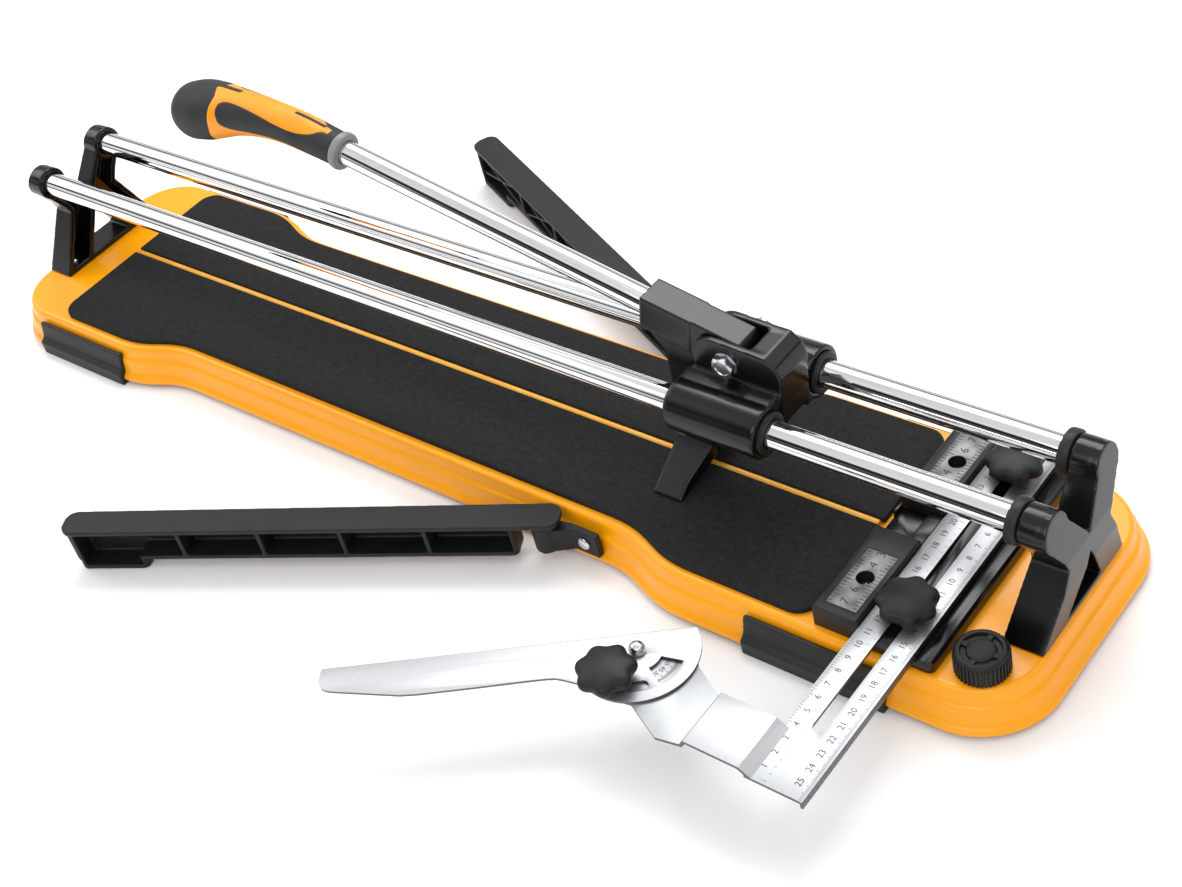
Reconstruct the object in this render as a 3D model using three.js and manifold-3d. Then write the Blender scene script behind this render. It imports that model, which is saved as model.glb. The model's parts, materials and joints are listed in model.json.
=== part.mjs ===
// Manual rail tile cutter with a sliding carriage, folding side arms and a swivel angle fence.
// Millimetres, +Z up. +X runs along the rails towards the fence, +Y is away from the user,
// and the origin is on the bed surface plane, midway between the two rail brackets.

import * as THREE from 'three';
import { mergeVertices } from 'three/addons/utils/BufferGeometryUtils.js';
import Module from 'manifold-3d';

const wasm = await Module();
wasm.setup();

// ---------- driving dimensions ----------

const GAP = 0.3;                 // clearance between pieces that rest on or sit in each other
const RUN = 0.25;                // radial clearance of a shaft that turns or slides in a hole

// base pan
const PAN_HALF_LENGTH = 416.5;
const PAN_HALF_WIDTH = 83.5;     // at the wide ends
const PAN_HALF_WAIST = 68.5;     // along the recessed middle
const PAN_CORNER = 37;
const WAIST_LEFT = -225;         // the waist lies between these two stations
const WAIST_RIGHT = 145;
const SWEEP_LENGTH = 70;         // length of each S-shaped change of width
const PAN_HEIGHT = 27;
const PAN_WALL = 3;
const PAN_FLARE = 9.8;           // how far the foot of the wall stands outside the top edge

// bed pads and breaking strip
const PAD_THICKNESS = 4;
const PAD_INSET = 4;
const PAD_LEFT = -(PAN_HALF_LENGTH - 55.5);
const PAD_RIGHT = PAN_HALF_LENGTH - 123.5;
const PAD_CORNER = 13;
const STRIP_WIDTH = 4.4;
const STRIP_HEIGHT = 3.4;

// rails and brackets
const RAIL_RADIUS = 8.25;
const RAIL_Y = 27.7;
const RAIL_Z = 77.2;
const BRACKET_OUTER = PAN_HALF_LENGTH - 0.5;   // outer face at the feet
const BRACKET_DEPTH = 24;
const BRACKET_TOP_DEPTH = 15;    // depth of the right bracket along its bosses
const BRACKET_WALL = 4;
const BRACKET_BOW = 5;           // how far the face of the right bracket swells at mid height
const BRACKET_LEAN = 16;         // how far the top of the left bracket leans inwards
const BOSS_RADIUS = RAIL_RADIUS + 3.55;
const RING_RADIUS = RAIL_RADIUS + 4.75;
const RING_LENGTH = 6.5;

// carriage
const CARRIAGE_LEFT = 185;
const CARRIAGE_RIGHT = 246;
const BUSH_RADIUS = RAIL_RADIUS + 3.75;
const SLEEVE_RADIUS = BUSH_RADIUS + 4;
const BUSH_FLANGE = 2.5;
const COLLAR_RADIUS = BUSH_RADIUS + 0.8;
const FORK_LEFT = 190;
const FORK_RIGHT = 249;
const FORK_TOP = RAIL_Z + 39.8;
const FORK_HALF = 14;            // half the width over the two ears
const FORK_SLOT = 9.6;           // half the width between the two ears
const BRIDGE_LEFT = 228.5;

// lever
const PIVOT_X = 214;
const PIVOT_Z = FORK_TOP - 11.4;
const LEVER_ANGLE = THREE.MathUtils.degToRad(11.8);
const HEAD_HALF_HEIGHT = 11.7;
const HEAD_HALF_WIDTH = 10;
const TONGUE_HALF_WIDTH = FORK_SLOT - GAP;
const TONGUE_END = 28;           // distances along the lever are measured from the pivot
const HEAD_END = 62.5;
const NOSE_END = -8;
const TUBE_RADIUS = 7.8;
const TUBE_START = 34;
const RING_START = 292;
const GRIP_START = 298;
const NECK_END = 326;
const BULB_START = 402;
const GRIP_END = 442;
const DROOP_START = 318;
const DROOP = 0.0024;            // the grip sags by this times the square of the distance
const BOLT_RADIUS = 4;
const BOLT_HEAD_FLATS = 13;
const BOLT_HEAD_HEIGHT = 5.3;

// breaker foot and cutting wheel
const FOOT_LEFT = 159.5;
const FOOT_RIGHT = 180;
const FOOT_KEEL = 186;
const FOOT_REACH = 39;
const FOOT_RIDGE_Z = 26;
const FOOT_WALL = 5;
const WHEEL_RADIUS = 11;
const WHEEL_THICKNESS = 2.4;
const WHEEL_X = 208;
const WHEEL_Z = 29;
const AXLE_RADIUS = 3;

// side arms
const FRONT_ARM_X = 108.5;
const REAR_ARM_X = 98.5;
const ARM_PIVOT_Y = PAN_HALF_WAIST + 17;
const ARM_REACH = 320;           // from the pivot to the tip
const ARM_OVERHANG = 12.5;       // beyond the pivot
const ARM_WIDTH = 20;
const ARM_TOP = PAD_THICKNESS + 0.6;
const ARM_HEIGHT = 26;
const ARM_FLOOR = 3.5;
const ARM_WEB = 3;
const ARM_HEEL = 17;             // the web ends this far short of the pivot
const RIB_PITCH = 55;
const RIBS = 4;
const TAB_LENGTH = 52;
const BRACE = 1.8;               // thickness of the crossed braces of the rear arm
const FRONT_ARM_ANGLE = 27.4;    // degrees away from the side of the pan
const REAR_ARM_ANGLE = 24.5;
const BARREL_RADIUS = 8;
const BARREL_BOTTOM = -21;
const BARREL_TOP = -1;

// feet clips
const CLIP_LENGTH = 92;
const CLIP_CENTRES = [-(PAN_HALF_LENGTH - 83), PAN_HALF_LENGTH - 114.5];
const BENCH_Z = -30;

// fence
const BLOCK_LEFT = BRACKET_OUTER - 118;
const BLOCK_RIGHT = BLOCK_LEFT + 28.6;
const BLOCK_TOP = 16;
const BLOCK_INNER = 13;
const BLOCK_OUTER = PAN_HALF_WIDTH - 3.5;
const FENCE_RIGHT = BRACKET_OUTER - 44;
const FENCE_HALF = PAN_HALF_WIDTH - 1.5;
const BED_TOP = 10.5;
const RULER_LEFT = BLOCK_RIGHT + 2 * GAP;
const RULER_WIDTH = 35;
const RULER_SHEET = 2;
const RULER_REAR = FENCE_HALF - 7;
const RULER_FRONT = RULER_REAR - 265;
const SLOT_FRONT = RULER_FRONT + 44;
const SLOT_REAR = RULER_REAR - 9;
const SLOT_WIDTH = 7.5;
const STUD_RADIUS = 3;
const STUD_Y = BLOCK_OUTER - 21;
const LEG_WIDTH = 36;
const LEG_RISE = 4.5;
const BLOCK_HOLE_Y = BLOCK_OUTER - 30;
const BLOCK_HOLE_RADIUS = 5.2;

// protractor
const SWIVEL_X = BLOCK_LEFT - 66;
const SWIVEL_Y = RULER_FRONT + 39.5;
const DISC_RADIUS = 35;
const BLADE_LENGTH = 180;
const BLADE_ANGLE = THREE.MathUtils.degToRad(216);
const BLADE_SHEET = 1.6;
const ARC_RADIUS = 24.5;
const ARC_HALF = THREE.MathUtils.degToRad(47);
const CLAMP_ANGLE = THREE.MathUtils.degToRad(265);

// star knobs and storage cap
const KNOB_RADIUS = 17.5;
const KNOB_LOBES = 7;
const CAP_X = PAN_HALF_LENGTH - 25;
const CAP_Y = -(PAN_HALF_WIDTH - 19);
const CAP_RADIUS = 15.2;
const CAP_HEIGHT = 14.5;

// ---------- small tools ----------

const part = new THREE.Group();

const finish = (color, roughness, metalness) => ({ color, roughness, metalness });
const ORANGE = finish(0xf79a0a, 0.42, 0.1);
const BLACK_CAST = finish(0x232425, 0.42, 0.35);
const GREY_CAST = finish(0x2a2b2c, 0.4, 0.4);
const BLACK_PLASTIC = finish(0x262728, 0.55, 0);
const PAD_RUBBER = finish(0x2e2e2f, 0.9, 0);
const BLACK_RUBBER = finish(0x1d1d1e, 0.75, 0);
const CHROME = finish(0xe6e8ea, 0.08, 1);
const STEEL = finish(0xd4d6d8, 0.28, 1);
const ZINC = finish(0xc9ccd0, 0.3, 1);
const TOOL_STEEL = finish(0x8f9296, 0.25, 1);
const SCALE_GREY = finish(0x9a9c9e, 0.5, 0.5);
const GRIP_ORANGE = finish(0xff9c08, 0.45, 0);
const GRIP_BLACK = finish(0x343537, 0.7, 0);
const RING_GREY = finish(0xb4b6b8, 0.5, 0);

function toSolid(geometry) {
  const bare = geometry.index ? geometry.toNonIndexed() : geometry.clone();
  bare.deleteAttribute('normal');
  bare.deleteAttribute('uv');
  const merged = mergeVertices(bare, 1e-4);
  return new wasm.Manifold(new wasm.Mesh({
    numProp: 3,
    vertProperties: new Float32Array(merged.attributes.position.array),
    triVerts: new Uint32Array(merged.index.array),
  }));
}

function add(name, solid, look) {
  const mesh = solid.getMesh();
  const geometry = new THREE.BufferGeometry();
  geometry.setAttribute('position', new THREE.BufferAttribute(mesh.vertProperties, 3));
  geometry.setIndex(new THREE.BufferAttribute(mesh.triVerts, 1));
  geometry.computeVertexNormals();
  const piece = new THREE.Mesh(geometry, new THREE.MeshStandardMaterial(look));
  piece.name = name;
  part.add(piece);
}

const join = (...solids) => solids.reduce((all, next) => all.add(next));
const cut = (from, ...tools) => tools.reduce((left, tool) => left.subtract(tool), from);

function box(x0, x1, y0, y1, z0, z1) {
  const geometry = new THREE.BoxGeometry(x1 - x0, y1 - y0, z1 - z0);
  geometry.translate((x0 + x1) / 2, (y0 + y1) / 2, (z0 + z1) / 2);
  return toSolid(geometry);
}

// a cylinder or cone between two points
function rod(from, to, radius, endRadius = radius, sides = 20) {
  const start = new THREE.Vector3(...from);
  const run = new THREE.Vector3(...to).sub(start);
  const geometry = new THREE.CylinderGeometry(endRadius, radius, run.length(), sides);
  geometry.translate(0, run.length() / 2, 0);
  const up = new THREE.Vector3(0, 1, 0);
  geometry.applyQuaternion(new THREE.Quaternion().setFromUnitVectors(up, run.normalize()));
  geometry.translate(start.x, start.y, start.z);
  return toSolid(geometry);
}

function shapeOf(points) {
  return new THREE.Shape(points.map(([a, b]) => new THREE.Vector2(a, b)));
}

function extrude(shape, depth, curveSegments = 8) {
  return new THREE.ExtrudeGeometry(shape, { depth, bevelEnabled: false, curveSegments });
}

// an outline drawn in x, y and raised from z0 to z1
function prismZ(shape, z0, z1, curveSegments) {
  return toSolid(extrude(shape, z1 - z0, curveSegments).translate(0, 0, z0));
}

// an outline drawn in y, z and run from x0 to x1
function prismX(shape, x0, x1, curveSegments) {
  const turn = new THREE.Matrix4().makeBasis(
    new THREE.Vector3(0, 1, 0), new THREE.Vector3(0, 0, 1), new THREE.Vector3(1, 0, 0));
  return toSolid(extrude(shape, x1 - x0, curveSegments).applyMatrix4(turn).translate(x0, 0, 0));
}

// an outline drawn in x, z and run from y0 to y1
function prismY(shape, y0, y1, curveSegments) {
  const geometry = extrude(shape, y1 - y0, curveSegments);
  return toSolid(geometry.rotateX(Math.PI / 2).translate(0, y1, 0));
}

function roundedRectangle(x0, x1, y0, y1, radius) {
  const shape = new THREE.Shape();
  shape.absarc(x1 - radius, y0 + radius, radius, -Math.PI / 2, 0);
  shape.absarc(x1 - radius, y1 - radius, radius, 0, Math.PI / 2);
  shape.absarc(x0 + radius, y1 - radius, radius, Math.PI / 2, Math.PI);
  shape.absarc(x0 + radius, y0 + radius, radius, Math.PI, 1.5 * Math.PI);
  return shape;
}

// a slot with round ends between two points of a plane
function slotShape(x0, y0, x1, y1, width) {
  const angle = Math.atan2(y1 - y0, x1 - x0);
  const shape = new THREE.Shape();
  shape.absarc(x1, y1, width / 2, angle - Math.PI / 2, angle + Math.PI / 2);
  shape.absarc(x0, y0, width / 2, angle + Math.PI / 2, angle + 1.5 * Math.PI);
  return shape;
}

function hexagon(flats) {
  const corner = flats / Math.sqrt(3);
  const points = [0, 1, 2, 3, 4, 5].map((k) => {
    const angle = (k * Math.PI) / 3;
    return [corner * Math.cos(angle), corner * Math.sin(angle)];
  });
  return shapeOf(points);
}

// ---------- base pan, pads and feet ----------

// the outline with two wide ends and a narrower waist, grown outwards by the given amount
function waistedOutline(grow) {
  const end = PAN_HALF_LENGTH + grow;
  const wide = PAN_HALF_WIDTH + grow;
  const waist = PAN_HALF_WAIST + grow;
  const radius = PAN_CORNER + grow;
  const half = SWEEP_LENGTH / 2;
  const shape = new THREE.Shape();
  shape.moveTo(-end + radius, -wide);
  shape.lineTo(WAIST_LEFT - SWEEP_LENGTH, -wide);
  shape.bezierCurveTo(WAIST_LEFT - half, -wide, WAIST_LEFT - half, -waist, WAIST_LEFT, -waist);
  shape.lineTo(WAIST_RIGHT, -waist);
  shape.bezierCurveTo(WAIST_RIGHT + half, -waist, WAIST_RIGHT + half, -wide,
    WAIST_RIGHT + SWEEP_LENGTH, -wide);
  shape.absarc(end - radius, -wide + radius, radius, -Math.PI / 2, 0);
  shape.absarc(end - radius, wide - radius, radius, 0, Math.PI / 2);
  shape.lineTo(WAIST_RIGHT + SWEEP_LENGTH, wide);
  shape.bezierCurveTo(WAIST_RIGHT + half, wide, WAIST_RIGHT + half, waist, WAIST_RIGHT, waist);
  shape.lineTo(WAIST_LEFT, waist);
  shape.bezierCurveTo(WAIST_LEFT - half, waist, WAIST_LEFT - half, wide,
    WAIST_LEFT - SWEEP_LENGTH, wide);
  shape.absarc(-end + radius, wide - radius, radius, Math.PI / 2, Math.PI);
  shape.absarc(-end + radius, -wide + radius, radius, Math.PI, 1.5 * Math.PI);
  return shape;
}

// a layer of the pan whose outline grows from growTop at zTop to growBottom at zBottom
function flaredLayer(zTop, zBottom, growTop, growBottom, steps) {
  const core = 2;
  const geometry = new THREE.ExtrudeGeometry(waistedOutline(0), {
    depth: core,
    bevelEnabled: true,
    bevelThickness: zTop - zBottom,
    bevelSize: growBottom - growTop,
    bevelOffset: growTop,
    bevelSegments: steps,
    curveSegments: 4,
  });
  geometry.translate(0, 0, zBottom - core);
  const room = PAN_HALF_LENGTH + 60;
  return toSolid(geometry).intersect(box(-room, room, -room, room, zBottom, zTop + 1));
}

function panWallOutside() {
  const shoulder = 4;
  const skirt = PAN_HEIGHT - 6;
  const lip = PAN_HEIGHT - 2;
  return join(
    flaredLayer(0, -shoulder, 0, 2.5, 2),
    flaredLayer(-shoulder, -skirt, 2.5, 6.5, 1),
    flaredLayer(-skirt, -lip, 6.5, PAN_FLARE, 1),
    flaredLayer(-lip, -PAN_HEIGHT, PAN_FLARE - 0.2, PAN_FLARE, 1),
  );
}

function basePan() {
  const hollow = flaredLayer(-PAN_WALL, -PAN_HEIGHT - 1, -PAN_WALL, PAN_FLARE - 2.2, 1);
  const capHole = rod([CAP_X, CAP_Y, -PAN_WALL - 1], [CAP_X, CAP_Y, 1], CAP_RADIUS - 3);
  return cut(panWallOutside(), hollow, capHole);
}

function pad(side) {
  const wide = PAN_HALF_WIDTH - PAD_INSET;
  const waist = PAN_HALF_WAIST - PAD_INSET;
  const inner = STRIP_WIDTH / 2 + GAP;
  const half = SWEEP_LENGTH / 2;
  const r = PAD_CORNER;
  const shape = new THREE.Shape();
  shape.moveTo(PAD_LEFT, inner);
  shape.lineTo(PAD_RIGHT, inner);
  shape.lineTo(PAD_RIGHT, wide - r);
  shape.absarc(PAD_RIGHT - r, wide - r, r, 0, Math.PI / 2);
  shape.lineTo(WAIST_RIGHT + SWEEP_LENGTH, wide);
  shape.bezierCurveTo(WAIST_RIGHT + half, wide, WAIST_RIGHT + half, waist, WAIST_RIGHT, waist);
  shape.lineTo(WAIST_LEFT, waist);
  shape.bezierCurveTo(WAIST_LEFT - half, waist, WAIST_LEFT - half, wide,
    WAIST_LEFT - SWEEP_LENGTH, wide);
  shape.absarc(PAD_LEFT + r, wide - r, r, Math.PI / 2, Math.PI);
  const solid = prismZ(shape, GAP, PAD_THICKNESS, 4);
  return side > 0 ? solid : solid.mirror([0, 1, 0]);
}

function breakingStrip() {
  const half = STRIP_WIDTH / 2;
  const profile = shapeOf([
    [-half, GAP], [half, GAP], [half, STRIP_HEIGHT - 1], [0.8, STRIP_HEIGHT],
    [-0.8, STRIP_HEIGHT], [-half, STRIP_HEIGHT - 1],
  ]);
  return prismX(profile, PAD_LEFT, PAD_RIGHT - 2);
}

// a rubber foot that wraps the lower edge of the pan wall
function footClip(centre, side) {
  const x0 = centre - CLIP_LENGTH / 2;
  const x1 = centre + CLIP_LENGTH / 2;
  const rim = PAN_HALF_WIDTH + PAN_FLARE;
  const outside = shapeOf([
    [rim - 14, BENCH_Z], [rim + 3, BENCH_Z], [rim + 3, -20], [rim - 1, -17],
    [rim - 3.5, -6], [rim - 8, -6], [rim - 8, -17], [rim - 14, -17],
  ]);
  const solid = cut(prismX(outside, x0, x1), clipRecess());
  return side > 0 ? solid : solid.mirror([0, 1, 0]);
}

// the room that the pan wall takes inside a foot clip
function clipRecess() {
  const skirt = PAN_HEIGHT - 6;
  return join(
    flaredLayer(0, -4, GAP, 2.5 + GAP, 1),
    flaredLayer(-4, -skirt, 2.5 + GAP, 6.5 + GAP, 1),
    flaredLayer(-skirt, -PAN_HEIGHT + 2, 6.5 + GAP, PAN_FLARE + GAP, 1),
    flaredLayer(-PAN_HEIGHT + 2, -PAN_HEIGHT - GAP, PAN_FLARE + GAP - 0.1, PAN_FLARE + GAP, 1),
  );
}

add('base_pan', basePan(), ORANGE);
add('front_pad', pad(-1), PAD_RUBBER);
add('rear_pad', pad(1), PAD_RUBBER);
add('breaking_strip', breakingStrip(), ORANGE);
CLIP_CENTRES.forEach((centre, index) => {
  const end = index === 0 ? 'left' : 'right';
  add(`front_${end}_clip`, footClip(centre, -1), BLACK_RUBBER);
  add(`rear_${end}_clip`, footClip(centre, 1), BLACK_RUBBER);
});

// ---------- rail brackets, rails and stops ----------

const NOTCH_Z = RAIL_Z - 23.2;      // where the struts cross

// one half of the end frame of two crossing struts, drawn in y, z from the foot to the notch
const HALF_FRAME = [
  [RAIL_Y + 17.8, GAP], [23, NOTCH_Z - 7], [26, NOTCH_Z], [RAIL_Y + 10.8, RAIL_Z - 4.2],
  [RAIL_Y + 11.6, RAIL_Z + 1.8], [RAIL_Y + 8.3, RAIL_Z + 8.3], [RAIL_Y + 0.3, RAIL_Z + 12],
  [RAIL_Y - 8.2, RAIL_Z + 8.3], [RAIL_Y - 11.7, RAIL_Z - 0.2],
];

function frameOutline() {
  const front = HALF_FRAME.map(([y, z]) => [-y, z]).reverse();
  return [...HALF_FRAME, [0, NOTCH_Z], ...front];
}

// moves every side of a closed counter-clockwise outline inwards by the wall thickness
function inset(points, wall) {
  return points.map((point, k) => {
    const before = points[(k + points.length - 1) % points.length];
    const after = points[(k + 1) % points.length];
    const normal = ([a, b], [c, d]) => {
      const length = Math.hypot(c - a, d - b);
      return [-(d - b) / length, (c - a) / length];
    };
    const first = normal(before, point);
    const second = normal(point, after);
    const scale = wall / (1 + first[0] * second[0] + first[1] * second[1]);
    return [point[0] + (first[0] + second[0]) * scale, point[1] + (first[1] + second[1]) * scale];
  });
}

// the depth of a bracket seen from the side, as [x, z] from its outer foot upwards and back
const FRAME_TOP = RAIL_Z + 14.8;
const RIGHT_SIDE = [
  [BRACKET_OUTER, -5], [BRACKET_OUTER, 0], [BRACKET_OUTER + BRACKET_BOW, 33],
  [BRACKET_OUTER + BRACKET_BOW, NOTCH_Z - 1], [BRACKET_OUTER, FRAME_TOP],
  [BRACKET_OUTER - BRACKET_TOP_DEPTH, FRAME_TOP], [BRACKET_OUTER - BRACKET_TOP_DEPTH, NOTCH_Z + 2],
  [BRACKET_OUTER - BRACKET_DEPTH, 0], [BRACKET_OUTER - BRACKET_DEPTH, -5],
];
const LEFT_SIDE = [
  [BRACKET_OUTER, -5], [BRACKET_OUTER, 0], [BRACKET_OUTER - BRACKET_LEAN, FRAME_TOP],
  [BRACKET_OUTER - BRACKET_DEPTH - 5, FRAME_TOP], [BRACKET_OUTER - BRACKET_DEPTH, 0],
  [BRACKET_OUTER - BRACKET_DEPTH, -5],
];

const SCREW_X = BRACKET_OUTER - BRACKET_DEPTH + 9;
const SCREW_Y = [-33, 33];

// a hollow casting with its closed face outwards; the part at the -X end is the mirrored one
function railBracket(side, socketEnd) {
  const near = BRACKET_OUTER - BRACKET_DEPTH - 6;
  const far = BRACKET_OUTER + BRACKET_BOW + 1;
  const wall = BRACKET_WALL;
  const envelope = prismY(shapeOf(side), -60, 60);
  const window = [[-19, wall], [19, wall], [0, NOTCH_Z - 13]];
  const outline = frameOutline();
  const frame = cut(prismX(shapeOf(outline), near, far), prismX(shapeOf(window), near, far));
  const room = prismX(shapeOf(inset(outline, wall)), near - 1, far);
  const roundWindow = prismX(shapeOf(inset(window, -wall)), near - 2, far + 2);
  const behindFace = prismY(shapeOf(side.map(([x, z]) => [x - wall, z])), -60, 60);
  const hollow = room.subtract(roundWindow).intersect(behindFace);
  const bosses = [-RAIL_Y, RAIL_Y].map((y) => rod([near, y, RAIL_Z], [far, y, RAIL_Z],
    BOSS_RADIUS));
  const sockets = [-RAIL_Y, RAIL_Y].map((y) => rod([near - 1, y, RAIL_Z],
    [socketEnd, y, RAIL_Z], RAIL_RADIUS + GAP));
  const holes = SCREW_Y.map((y) => rod([SCREW_X, y, -1], [SCREW_X, y, wall + 3], 2.6,
    undefined, 12));
  return cut(join(cut(frame, hollow), ...bosses).intersect(envelope), ...sockets, ...holes);
}

// a pan-head screw that holds a bracket foot down
function footScrew(x, y) {
  const seat = BRACKET_WALL + 2 * GAP;
  const shank = rod([x, y, GAP], [x, y, seat + 1], 2.2, undefined, 12);
  const head = rod([x, y, seat], [x, y, seat + 2.4], 4.2, 3.2, 12);
  return cut(join(shank, head), box(x - 2.6, x + 2.6, y - 0.6, y + 0.6, seat + 1.4, seat + 3));
}

const leftSocketEnd = BRACKET_OUTER - BRACKET_LEAN + 2 - BRACKET_WALL;
const rightSocketEnd = BRACKET_OUTER - BRACKET_WALL;
add('left_bracket', railBracket(LEFT_SIDE, leftSocketEnd).mirror([1, 0, 0]), BLACK_CAST);
add('right_bracket', railBracket(RIGHT_SIDE, rightSocketEnd), GREY_CAST);
for (const [end, sign] of [['left', -1], ['right', 1]]) {
  add(`${end}_front_bracket_screw`, footScrew(sign * SCREW_X, SCREW_Y[0]), ZINC);
  add(`${end}_rear_bracket_screw`, footScrew(sign * SCREW_X, SCREW_Y[1]), ZINC);
}

const railLeft = -leftSocketEnd + GAP;
const railRight = rightSocketEnd - GAP;
for (const [name, side] of [['front', -1], ['rear', 1]]) {
  const y = side * RAIL_Y;
  add(`${name}_rail`, rod([railLeft, y, RAIL_Z], [railRight, y, RAIL_Z], RAIL_RADIUS), CHROME);
  const ringRight = BRACKET_OUTER - BRACKET_TOP_DEPTH - GAP;
  const ring = cut(
    rod([ringRight - RING_LENGTH, y, RAIL_Z], [ringRight, y, RAIL_Z], RING_RADIUS),
    rod([ringRight - RING_LENGTH - 1, y, RAIL_Z], [ringRight + 1, y, RAIL_Z], RAIL_RADIUS + 0.1),
  );
  add(`${name}_stop_ring`, ring, BLACK_RUBBER);
}

// ---------- carriage ----------

function carriageBody() {
  const middle = RAIL_Z;
  const sleeves = [-1, 1].map((side) => rod([CARRIAGE_LEFT, side * RAIL_Y, middle],
    [CARRIAGE_RIGHT, side * RAIL_Y, middle], SLEEVE_RADIUS));
  const webs = [-1, 1].map((side) => {
    const web = shapeOf([
      [side * FORK_SLOT, middle - 11.2], [side * (RAIL_Y - 2), middle - 11.2],
      [side * (RAIL_Y + 3), middle + 14], [side * FORK_HALF, FORK_TOP - 22],
      [side * FORK_SLOT, FORK_TOP - 22],
    ]);
    return prismX(web, FORK_LEFT - 4, CARRIAGE_RIGHT);
  });
  const ear = new THREE.Shape();
  const round = 14;
  const skirt = FORK_TOP - 33;
  ear.moveTo(FORK_LEFT, skirt);
  ear.lineTo(FORK_RIGHT - 2, skirt);
  ear.lineTo(FORK_RIGHT, FORK_TOP - 13);
  ear.lineTo(FORK_RIGHT - 2.5, FORK_TOP - 5);
  ear.lineTo(FORK_RIGHT - 9, FORK_TOP);
  ear.lineTo(FORK_LEFT + round + 3, FORK_TOP + 1.5);
  ear.absarc(FORK_LEFT + round, FORK_TOP + 1.5 - round, round, Math.PI / 2, Math.PI);
  const ears = [-1, 1].map((side) => prismY(ear, Math.min(side * FORK_SLOT, side * FORK_HALF),
    Math.max(side * FORK_SLOT, side * FORK_HALF)));
  const bridge = shapeOf([
    [BRIDGE_LEFT, middle - 7.2], [CARRIAGE_RIGHT, middle - 7.2], [FORK_RIGHT - 2, skirt],
    [FORK_RIGHT, FORK_TOP - 13], [FORK_RIGHT - 2.5, FORK_TOP - 5], [FORK_RIGHT - 9, FORK_TOP],
    [BRIDGE_LEFT, FORK_TOP],
  ]);
  const body = join(...sleeves, ...webs, ...ears, prismY(bridge, -FORK_HALF, FORK_HALF));
  const bores = [-1, 1].map((side) => rod([CARRIAGE_LEFT - 1, side * RAIL_Y, middle],
    [CARRIAGE_RIGHT + 1, side * RAIL_Y, middle], BUSH_RADIUS));
  const seats = [-1, 1].map((side) => rod([CARRIAGE_RIGHT, side * RAIL_Y, middle],
    [FORK_RIGHT + 5, side * RAIL_Y, middle], COLLAR_RADIUS + GAP));
  const pin = rod([PIVOT_X, -30, PIVOT_Z], [PIVOT_X, 30, PIVOT_Z], BOLT_RADIUS + GAP, undefined, 16);
  return cut(body, ...bores, ...seats, pin);
}

// a plain bearing pressed in from the right end, with a collar outside
function bush(side, x0, x1, collarRight) {
  const y = side * RAIL_Y;
  const sleeve = rod([x0, y, RAIL_Z], [x1, y, RAIL_Z], BUSH_RADIUS - 0.05);
  const collar = collarRight
    ? rod([CARRIAGE_RIGHT + 0.05, y, RAIL_Z], [CARRIAGE_RIGHT + BUSH_FLANGE, y, RAIL_Z],
      COLLAR_RADIUS)
    : rod([CARRIAGE_LEFT - BUSH_FLANGE, y, RAIL_Z], [CARRIAGE_LEFT - 0.05, y, RAIL_Z],
      COLLAR_RADIUS);
  const bore = rod([CARRIAGE_LEFT - 20, y, RAIL_Z], [CARRIAGE_RIGHT + 20, y, RAIL_Z],
    RAIL_RADIUS + RUN);
  return cut(join(sleeve, collar), bore);
}

add('carriage_body', carriageBody(), BLACK_CAST);
for (const [name, side] of [['front', -1], ['rear', 1]]) {
  const overlap = 1;
  add(`${name}_left_bush`, bush(side, CARRIAGE_LEFT - overlap, CARRIAGE_LEFT + 22, false),
    BLACK_PLASTIC);
  add(`${name}_right_bush`, bush(side, CARRIAGE_RIGHT - 22, CARRIAGE_RIGHT + overlap, true),
    BLACK_PLASTIC);
}

const boltSeat = FORK_HALF + GAP;
function hexPrism(flats, y0, y1) {
  return prismY(hexagon(flats), y0, y1).translate([PIVOT_X, 0, PIVOT_Z]);
}
add('pivot_bolt', join(
  hexPrism(BOLT_HEAD_FLATS, -boltSeat - BOLT_HEAD_HEIGHT, -boltSeat),
  rod([PIVOT_X, -boltSeat - 0.5, PIVOT_Z], [PIVOT_X, FORK_HALF + 10, PIVOT_Z], BOLT_RADIUS,
    undefined, 16),
), ZINC);
add('pivot_nut', cut(
  hexPrism(BOLT_HEAD_FLATS, boltSeat, boltSeat + 6.5),
  rod([PIVOT_X, 0, PIVOT_Z], [PIVOT_X, 40, PIVOT_Z], BOLT_RADIUS + 0.1, undefined, 16),
), ZINC);

// ---------- lever, grip, breaker foot and wheel ----------

// the point at a distance along the lever and a height above its axis, as x, z
function leverPoint(distance, height) {
  return [
    PIVOT_X - distance * Math.cos(LEVER_ANGLE) + height * Math.sin(LEVER_ANGLE),
    PIVOT_Z + distance * Math.sin(LEVER_ANGLE) + height * Math.cos(LEVER_ANGLE),
  ];
}

const leverShape = (points) => shapeOf(points.map(([s, n]) => leverPoint(s, n)));

function leverRod(s0, s1, radius, endRadius, sides) {
  const [x0, z0] = leverPoint(s0, 0);
  const [x1, z1] = leverPoint(s1, 0);
  return rod([x0, 0, z0], [x1, 0, z1], radius, endRadius, sides);
}

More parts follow.
